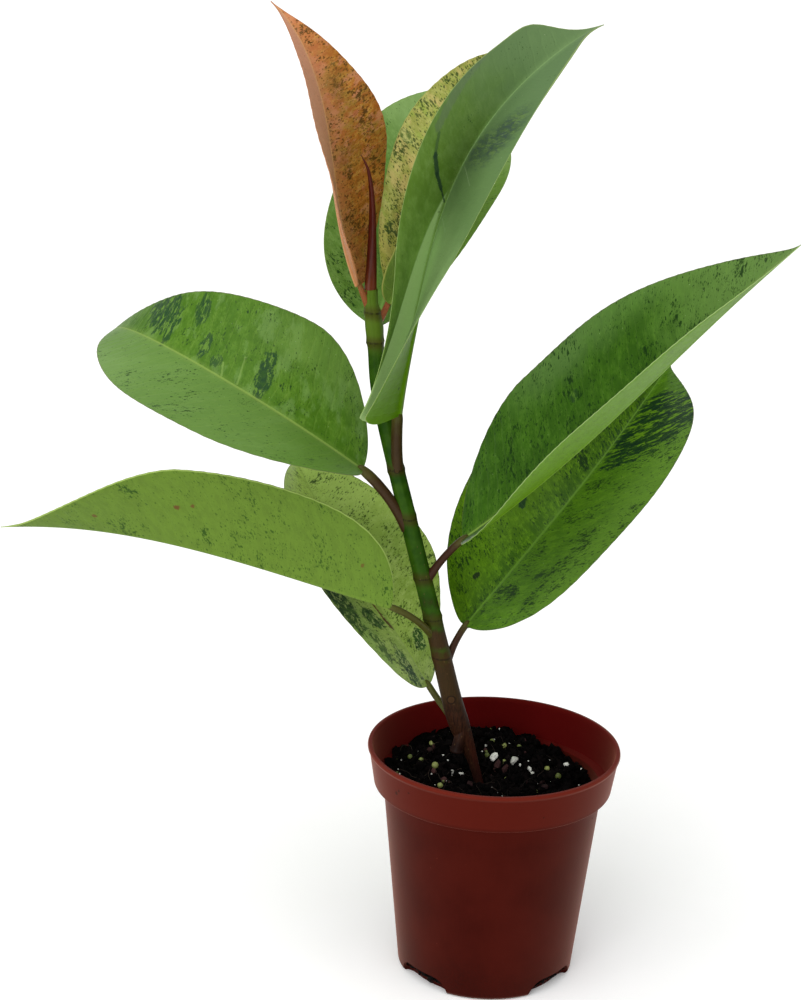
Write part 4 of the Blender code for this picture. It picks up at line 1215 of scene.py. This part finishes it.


# %% [markdown]
# What makes each leaf itself: its colours, judged against the photo, and its own
# patches, clusters, tints and sheen, and marks, in centimetres along and across the blade
# (minus is the left half, seen from the base with the upper side up). A leaf that leaves
# out an entry takes it from the default look.

# %% Looks of the nine leaves
BROWN, BLACK_GREEN, PALE_VEIN = (92, 60, 30), (26, 40, 18), (150, 178, 98)
RIGHT_HALF, LEFT_HALF = (-0.04, 0.04), (0.04, -0.04)
LEAF_LOOKS = {
    "leaf_1_mottled": dict(
        ground=(144, 170, 78), shade=(126, 154, 62), glow=(170, 192, 108), fleck=(40, 66, 14),
        under=(112, 142, 48), rib_colour=(138, 164, 74), rim_colour=(120, 134, 70), flecks=1.0,
        patches=((4.9, -3.3, 1.5, 0.95, 1), (3.9, -1.3, 0.5, 0.7, 1), (1.3, -1.0, 1.1, 0.45, 1),
            (2.1, 1.1, 0.6, 0.4, 1), (6.4, -3.6, 0.8, 0.5, 0.9), (2.6, -2.2, 0.7, 0.4, 0.8)),
        patch_colour=(10, 50, 6), patch_rag=2.0, brushy=False, seed=1.3,
        washes=((None, (-1.2, -2.8), (130, 166, 84), 0.5), ((6, 11), None, (180, 208, 104), 0.6)),
        marks=((4.6, -0.5, 3.7, -0.35, 0.08, (78, 26, 18), 0.9),
            (3.7, -0.35, 3.2, -0.1, 0.13, (66, 22, 16), 0.95))),
    "leaf_2_low_right": dict(
        ground=(68, 108, 10), shade=(50, 86, 8), glow=(98, 140, 22), fleck=(18, 46, 10),
        rib_colour=(96, 136, 44), rim_colour=(86, 96, 56), flecks=0.95, slant=0.42, clouds=0.8, fine=0.8,
        washes=((None, RIGHT_HALF, (76, 118, 22), 0.5), (None, (1.4, 4.2), (104, 144, 48), 0.5),
            (None, (-0.3, -1.6), (98, 138, 14), 0.3)),
        clusters=((2.2, 0.9, 0.9), (2.6, 3.0, 0.8), (4.6, 2.8, 0.6), (9.3, 0.9, 0.6), (10.6, -1.2, 1.0),
            (12.4, -1.0, 0.8)),
        patches=((14.0, 2.0, 2.6, 2.3, 1), (11.0, 1.2, 0.3, 0.9, 1), (15.8, 0.9, 1.0, 0.9, 1),
            (13.2, 0.9, 1.2, 0.9, 1)),
        patch_colour=(12, 42, 24), seed=2.7,
        marks=((2.4, -1.7, 2.5, -1.65, 0.20, BLACK_GREEN, 0.95),
            (7.5, -2.1, 6.6, -1.7, 0.19, (24, 54, 26), 0.97),
            (3.6, 1.9, 3.7, 2.0, 0.2, (30, 58, 20), 0.8))),
    "leaf_3_low_left": dict(
        ground=(90, 126, 36), shade=(78, 114, 28), glow=(112, 144, 54), fleck=(34, 66, 10),
        under=(91, 119, 38), rib_colour=(112, 138, 52), rim_colour=(140, 158, 84), flecks=0.68,
        under_flecks=0.9, under_rim=(152, 174, 92), seed=3.9, vein_weight=0.06, under_rib=0.2,
        under_veins=0.04, clusters=((7.4, -3.5, 0.7), (7.0, -1.6, 0.4), (12.4, -3.4, 0.8),
            (9.1, -1.3, 0.3)),
        marks=((10.4, -2.4, 10.4, -2.42, 0.15, BROWN, 0.9), (9.7, -2.6, 9.7, -2.62, 0.10, BROWN, 0.8),
            (14.3, -1.3, 14.3, -1.32, 0.13, BROWN, 0.8), (1.8, -1.6, 1.8, -1.62, 0.1, BROWN, 0.7))),
    "leaf_4_right": dict(
        ground=(58, 98, 18), shade=(46, 82, 14), glow=(78, 116, 36), fleck=(18, 46, 10),
        under=(92, 134, 14), rib_colour=(130, 160, 70), rim_colour=(92, 96, 66), flecks=0.85,
        # Painted sheen: the tip and the left half's margin are paler and greyer, where the blade catches the
        # light.
        washes=(((12, 19), None, (100, 132, 66), 0.7), ((4, 8), (-2.4, -4.4), (104, 138, 74), 0.45)),
        clusters=((8.6, -2.4, 0.7), (15.0, -1.3, 0.5), (19.1, -1.5, 0.5), (4.6, -2.6, 0.7)),
        patches=((8.6, -2.1, 0.3, 0.25, 0.9),), under_rib=0.3, vein_weight=0.07,
        under_rim=(156, 182, 116), under_veins=0.08,
        under_washes=((None, LEFT_HALF, (104, 140, 62), 0.9),), seed=4.1),
    "leaf_5_left": dict(
        ground=(76, 114, 26), shade=(62, 100, 16), glow=(98, 134, 48), fleck=(28, 58, 18),
        rib_colour=(128, 154, 72), rim_colour=(110, 112, 76), flecks=0.6,
        # Painted sheen: a grey-green haze over the left half, the right margin near the base and the left
        # half towards the tip; the left half's base keeps a deeper green.
        washes=((None, LEFT_HALF, (104, 140, 66), 0.7), ((9, 5.5), (1.4, 3.6), (108, 140, 68), 0.45),
            ((9, 14), (-0.6, -3.2), (124, 156, 92), 0.5), ((4.5, 1.5), LEFT_HALF, (84, 124, 30), 0.7)),
        blotches=(((122, 154, 90), 1.1, 0.3), ((72, 112, 30), 2.2, 0.3)),
        slant=0.27, patches=((13.5, 1.5, 1.3, 1.0, 1), (11.3, 2.4, 0.45, 0.8, 0.95),
            (9.8, 1.0, 0.3, 0.6, 0.9), (12.2, 0.7, 0.3, 0.7, 0.95), (6.3, 1.2, 0.42, 1.25, 1),
            (8.7, 0.6, 0.35, 0.3, 0.8)),
        patch_colour=(30, 62, 34), seed=5.2,
        marks=((7.1, 0.15, 7.7, 1.5, 0.05, PALE_VEIN, 0.25), (8.0, 0.1, 8.4, 0.7, 0.06, PALE_VEIN, 0.3))),
    "leaf_6_tall_front": dict(
        ground=(112, 146, 62), shade=(96, 130, 46), glow=(130, 160, 84), fleck=(56, 82, 40),
        under=(88, 132, 8), rib_colour=(118, 148, 90), rim_colour=(140, 160, 96), flecks=0.2,
        clouds=0.35, slant=0.3, shine_through=0.36, patch_rag=0.9, vein_weight=0.08,
        under_washes=(((5, 9), None, (102, 138, 62), 0.9),),
        # Painted sheen and light: the right half is greyer where it catches the light, and near the base it
        # is painted lighter against the fold's shade; the tip is greyer.
        washes=((None, RIGHT_HALF, (98, 126, 80), 0.85), ((12.5, 18), None, (92, 118, 78), 0.85),
            ((12.5, 8.5), (-0.1, 0.4), (136, 166, 106), 0.85)),
        # painted sheen on the fold at the left half's base
        strip=(9.3, -2.2, 5.3, -5.1, 146, 174, 112),
        patches=((15.2, 1.7, 1.9, 1.2, 0.95), (14.2, 0.8, 1.3, 1.0, 0.85)),
        patch_colour=(60, 76, 70), seed=6.4,
        marks=((14.2, -3.0, 13.5, -2.75, 0.13, (60, 84, 56), 0.6),
            (13.5, -2.75, 12.8, -2.1, 0.17, (36, 60, 48), 0.85),
            (12.8, -2.1, 12.1, -1.2, 0.12, (32, 56, 44), 0.9),
            (12.1, -1.2, 11.3, -0.25, 0.06, (32, 56, 44), 0.9),
            (16.9, -2.6, 14.5, -3.2, 0.30, (96, 110, 90), 0.45),
            (2.1, 0.8, 2.1, 0.8, 0.12, (40, 66, 20), 0.9), (0.0, 0.0, 4.0, 0.0, 0.10, (96, 72, 34), 0.6),
            (13.1, 0.3, 12.9, 1.9, 0.03, (150, 172, 130), 0.4),
            (10.6, 0.3, 10.6, 1.7, 0.03, (150, 172, 130), 0.4))),
    "leaf_7_top_back": dict(
        ground=(100, 138, 62), shade=(86, 124, 46), glow=(122, 156, 82), fleck=(24, 58, 16),
        rib_colour=(112, 150, 68), rim_colour=(120, 146, 72), flecks=0.55,
        washes=((None, (0.6, 1.6), (100, 140, 34), 0.8), ((8, 13), None, (140, 168, 106), 0.5)),
        clusters=((1.2, -1.8, 1.0), (2.6, -2.2, 0.9)),
        seed=7.7),
    "leaf_8_cream": dict(
        ground=(152, 155, 80), shade=(132, 136, 60), glow=(180, 182, 110), fleck=(36, 60, 14),
        under=(104, 132, 48), rib_colour=(176, 178, 100), rim_colour=(150, 150, 78), flecks=0.95,
        fine=1.5, under_flecks=0.2,
        washes=(((5, 2), None, (138, 138, 48), 0.5),),
        blotches=(((186, 166, 104), 1.2, 0.6), ((132, 152, 58), 1.7, 0.6)),
        seed=8.6, clusters=((10.6, -2.1, 0.5), (3.8, -2.2, 0.8)),
        patches=((7.5, -2.8, 0.25, 0.35, 0.7),), patch_colour=(56, 86, 36)),
    "leaf_9_young_orange": dict(
        ground=(184, 116, 46), shade=(154, 94, 34), glow=(186, 144, 66), fleck=(80, 56, 18),
        under=(176, 116, 72), rib_colour=(204, 154, 108), rim_colour=(166, 110, 72), flecks=1.05,
        seed=9.1, slant=0.12, clouds=1.0,
        washes=((None, (1.5, 0.1), (192, 124, 84), 0.5), (None, LEFT_HALF, (204, 150, 122), 0.85)),
        bare=(0.1, -0.1),
        blotches=(((158, 124, 52), 0.9, 0.75), ((196, 132, 98), 2.2, 0.65), ((160, 78, 36), 3.4, 0.5)),
        patches=((9.0, 1.0, 0.8, 0.5, 0.4), (5.6, 1.2, 0.6, 0.9, 0.35)),
        patch_colour=(104, 82, 30)),
}

# %% [markdown]
# Rows of the grid are closer near the base and the tip, and columns are closer near the
# midrib and the margins, because the shape turns fastest there. The upper and the lower
# sheet form one closed tube, so the blade has a real, rounded edge.

# %% Make the nine blades
STATIONS, HALF_COLUMNS = 150, 22
MM_PER_CM = 10
GROOVE_DEPTH = 0.18


def there_and_back(upper, lower):
    """Columns of the upper sheet from margin to margin, then those of the lower sheet back."""
    return np.concatenate([upper, lower[:, -2:0:-1]], axis=1)


def make_blade(name):
    """A closed shell with a shallow groove along the midrib's upper side, and its two UV maps."""
    leaf = LEAVES[name]
    even = np.linspace(0, 1, STATIONS)
    t = 0.45 * even + 0.55 * (1 - np.cos(math.pi * even)) / 2
    half_u = (1 - np.cos(math.pi * np.linspace(0, 1, HALF_COLUMNS + 1))) / 2
    u = np.concatenate([-half_u[:0:-1], half_u])
    sheet, distance, rim, along = blade_sheet(leaf, t, u)
    lower = blade_shell(sheet, distance, t, leaf.get("bulge", 1.0))
    inward = (lower - sheet) / np.maximum(np.linalg.norm(lower - sheet, axis=-1, keepdims=True), 1e-9)
    groove = GROOVE_DEPTH * np.exp(-((distance / 0.5) ** 2)) * (1 - t[:, None])
    loop = there_and_back(sheet + inward * groove[..., None], lower)
    blade = new_piece(name.replace("leaf_", "blade_"), loop * MM, tube_faces(*loop.shape[:2]),
                      leaf_finish(name + " skin", **LEAF_LOOKS[name]), [name])
    is_upper = there_and_back(1 + 0 * rim, 0 * rim)
    along, distance, rim = (there_and_back(a, a) / MM_PER_CM for a in (along, distance, rim))
    write_uv(blade, "blade", np.stack([along, distance], -1))
    write_uv(blade, "rim", np.stack([rim, is_upper], -1))


for name in LEAVES:
    make_blade(name)

# %% [markdown]
# ## Leaf stalks, cut spur and bud
#
# A stalk (petiole) is a short round rod that swells where it leaves the stem. It bends
# so that it arrives in the blade's own direction. Low on the stem is the stub of a cut
# shoot, and at the top is the sheath round the next leaf, a dark red spike whose edge
# winds round it as a faint ridge.

# %% Leaf stalks
def stalk_finish():
    """Dark, olive or pink by the stalk's own tone, greener towards the blade, with fine dark grains."""
    finish = Finish("leaf stalk skin", Specular_IOR_Level=0.12)
    share, tone = finish.uv("stalk")
    grain = noise(finish.place(), 600, 3, 0.6)
    wander = noise(finish.place(), 120)
    low = mix(smooth(tone, 0.5, 1.0), mix(smooth(tone, 0.0, 0.5), (52, 30, 18), (66, 66, 24)), (146, 80, 48))
    colour = paint(low, (smooth(share + (wander - 0.5) * 0.5, 0.55, 1.05) * 0.5, (84, 92, 34)),
                   (smooth(grain, 0.5, 0.75) * 0.35, (34, 20, 12)))
    return finish.made(colour, grain * 0.2 + 0.32, grain, 0.0001, 0.6)


STALK_ROWS, STALK_SIDES = 40, 24
IN_STEM, IN_BLADE = 4.0, 3.0


def stalk(leaf):
    """Quadratic curve from inside the stem to inside the blade's base; the radius falls from a wider foot."""
    height = leaf["foot"][2] - IN_STEM
    base = np.array(leaf["base"], float)
    aside = 1.6 * np.sign(base[0] - leaf["foot"][0])
    foot = np.array([np.interp(height, stem_height, stem_x) + aside, 0.0, height])
    towards = direction(math.radians(leaf["heading"][0]), math.radians(leaf["climb"][0]))
    run = np.linalg.norm(base - foot)
    bend = base - towards * run * 0.36
    t = np.linspace(0, 1, STALK_ROWS)
    s = t[:, None]
    path = (1 - s) ** 2 * foot + 2 * s * (1 - s) * bend + s**2 * (base + towards * IN_BLADE)
    radius = leaf["stalk"][0] + 0.5 * np.exp(-((t * run / 6.0) ** 2))
    radius = radius + 0.12 * np.exp(-(((1 - t) * run / 3.0) ** 2))
    radius = radius * (1 - 0.45 * np.clip((t - 0.78) / 0.22, 0, 1) ** 2)
    return path * MM, radius * np.sqrt(np.clip((1.01 - t) / 0.05, 0.05, 1)) * MM


stalk_paths, stalk_radii = (np.array(kind) for kind in zip(*map(stalk, LEAVES.values())))
stalks = new_piece("leaf_stalks", tubes(stalk_paths, stalk_radii, STALK_SIDES, DEPTH),
                   tube_faces(STALK_ROWS, STALK_SIDES, len(LEAVES)), stalk_finish())
tones = np.array([leaf["stalk"][1] for leaf in LEAVES.values()])
share, tone = np.broadcast_arrays(np.linspace(0, 1, STALK_ROWS)[None, :, None], tones[:, None, None])
write_uv(stalks, "stalk", np.repeat(np.stack([share, tone], -1), STALK_SIDES, axis=2))

# %% [markdown]
# Where a shoot was cut off low on the stem, a short stub is left. It is a tube that
# swells before its end and closes in a rounded tip, and it wears the stem's own bark.

# %% Cut spur
SPUR_LINE = [(-15.5, -1.5, 122), (-16.4, -2.6, 117), (-17.6, -3.4, 112), (-17.9, -3.6, 110)]
SPUR_ROWS, SPUR_SIDES = 30, 28
spur_share = np.linspace(0, 1, SPUR_ROWS)
spur_radius = 2.9 + 0.35 * bump_at(spur_share, 0.82, 0.12)
spur_radius = spur_radius * np.sqrt(np.clip((1.01 - spur_share) / 0.10, 0.03, 1)) * MM
new_piece("cut_spur", tubes(through_points(SPUR_LINE, SPUR_ROWS) * MM, spur_radius, SPUR_SIDES, DEPTH),
          tube_faces(SPUR_ROWS, SPUR_SIDES), stem_material)

# %% [markdown]
# The next leaf is rolled up inside a pointed sheath. Its radius falls along a slightly
# bent line. A cosine to the ninth power, which turns with the height, gives a narrow
# ridge with a groove opposite, as where the sheath's skin laps over itself.

# %% Bud sheath
SHEATH_LINE = [(-65.2, 0, 331), (-65, 0, 350), (-65.5, 0, 372), (-67.5, 0, 386), (-71, 0, 393.5)]
SHEATH_RADII = [2.9, 2.15, 1.35, 0.75, 0.15]
SHEATH_ROWS, SHEATH_SIDES = 120, 36


def sheath_finish():
    """Brown at the foot and dark red above, with lighter fibres drawn out lengthwise."""
    finish = Finish("bud sheath skin", Specular_IOR_Level=0.2)
    x, y, z = split(finish.place())
    grain = noise(vector(x, y, z * 0.12), 1600, 3, 0.6)
    cloud = noise(finish.place(), 90)
    colour = mix(smooth(z + (cloud - 0.5) * 0.01, 0.333, 0.350), (92, 42, 18), (70, 18, 8))
    colour = mix(smooth(grain, 0.4, 0.7) * 0.35, colour, (98, 34, 18))
    return finish.made(colour, grain * 0.2 + 0.26, grain, 0.00012, 0.7)


sheath_share = np.linspace(0, 1, SHEATH_ROWS)
sheath_round = np.interp(sheath_share, np.linspace(0, 1, len(SHEATH_RADII)), SHEATH_RADII)
sheath_angle = np.linspace(0, math.tau, SHEATH_SIDES, endpoint=False)
overlap = 1 + 0.10 * np.cos(sheath_angle[None] - 1.2 - 2.2 * sheath_share[:, None]) ** 9
sheath_points = tubes(through_points(SHEATH_LINE, SHEATH_ROWS) * MM, sheath_round[:, None] * overlap * MM,
                      SHEATH_SIDES, DEPTH)
new_piece("bud_spike", sheath_points, tube_faces(SHEATH_ROWS, SHEATH_SIDES), sheath_finish(),
          ["bud_sheath"])

# %% [markdown]
# ## Floor and light
#
# The picture was taken on white, in even light like daylight. A wide sun lamp above, a
# weaker softbox in front and a bright even surround give that. The floor is pale and
# matt, so only a faint shadow lies round the pot's foot.

# %% Floor
FLOOR_REACH, FLOOR_POINTS = 9, 9
FLOOR_DROP = 0.0002


def floor_finish():
    """Nearly white and matt; a little light of its own keeps it as white as the photo's ground."""
    finish = Finish("pale studio floor", Specular_IOR_Level=0.2, Emission_Color=(1.0, 1.0, 1.0, 1.0),
                    Emission_Strength=0.09)
    grain = noise(finish.place(), 40, 3, 0.6)
    finish.set(Base_Color=mix(grain, (250, 250, 249), (254, 254, 254)), Roughness=grain * 0.1 + 0.8)
    return finish.material


floor_side = np.linspace(-FLOOR_REACH, FLOOR_REACH, FLOOR_POINTS)
floor_x, floor_y = np.meshgrid(floor_side, floor_side, indexing="ij")
floor_mesh = plain_mesh("studio_floor", np.stack([floor_x, floor_y, 0 * floor_x - FLOOR_DROP], -1),
                        grid_faces(FLOOR_POINTS, FLOOR_POINTS, False)[:, ::-1])
floor_mesh.materials.append(floor_finish())
floor = add_object("studio_floor", floor_mesh)

# %% [markdown]
# A wide sun lamp stands for the bright sky: its large angle makes shadows without an
# edge. The softbox in front lights the pot's and the stem's near side, and the white
# surround fills the rest.

# %% Lamps and surround
WORLD_STRENGTH = 0.62
OVERHEAD_STRENGTH = 1.7
OVERHEAD_SPREAD = math.radians(70)
FRONT_POWER = 11.0
FRONT_SIZE = 0.9
PLANT_MIDDLE = Vector((-0.03, 0.0, 0.22))
world = bpy.data.worlds.new("white surround")
bpy.context.scene.world = world
world.use_nodes = True
surround = world.node_tree.nodes["Background"].inputs
surround["Color"].default_value = (1.0, 1.0, 1.0, 1.0)
surround["Strength"].default_value = WORLD_STRENGTH


def add_lamp(name, kind, power, place):
    """A lamp at the place, with its -Z axis turned to the plant's middle."""
    light = bpy.data.lights.new(name, kind)
    light.energy = power
    lamp = add_object(name, light)
    lamp.location = place
    lamp.rotation_euler = (PLANT_MIDDLE - Vector(place)).to_track_quat("-Z", "Y").to_euler()
    return light


add_lamp("overhead soft light", "SUN", OVERHEAD_STRENGTH, (-0.5, -0.9, 2.2)).angle = OVERHEAD_SPREAD
add_lamp("front softbox", "AREA", FRONT_POWER, (-0.7, -1.7, 0.6)).size = FRONT_SIZE

# %% Update the scene
bpy.context.view_layer.update()
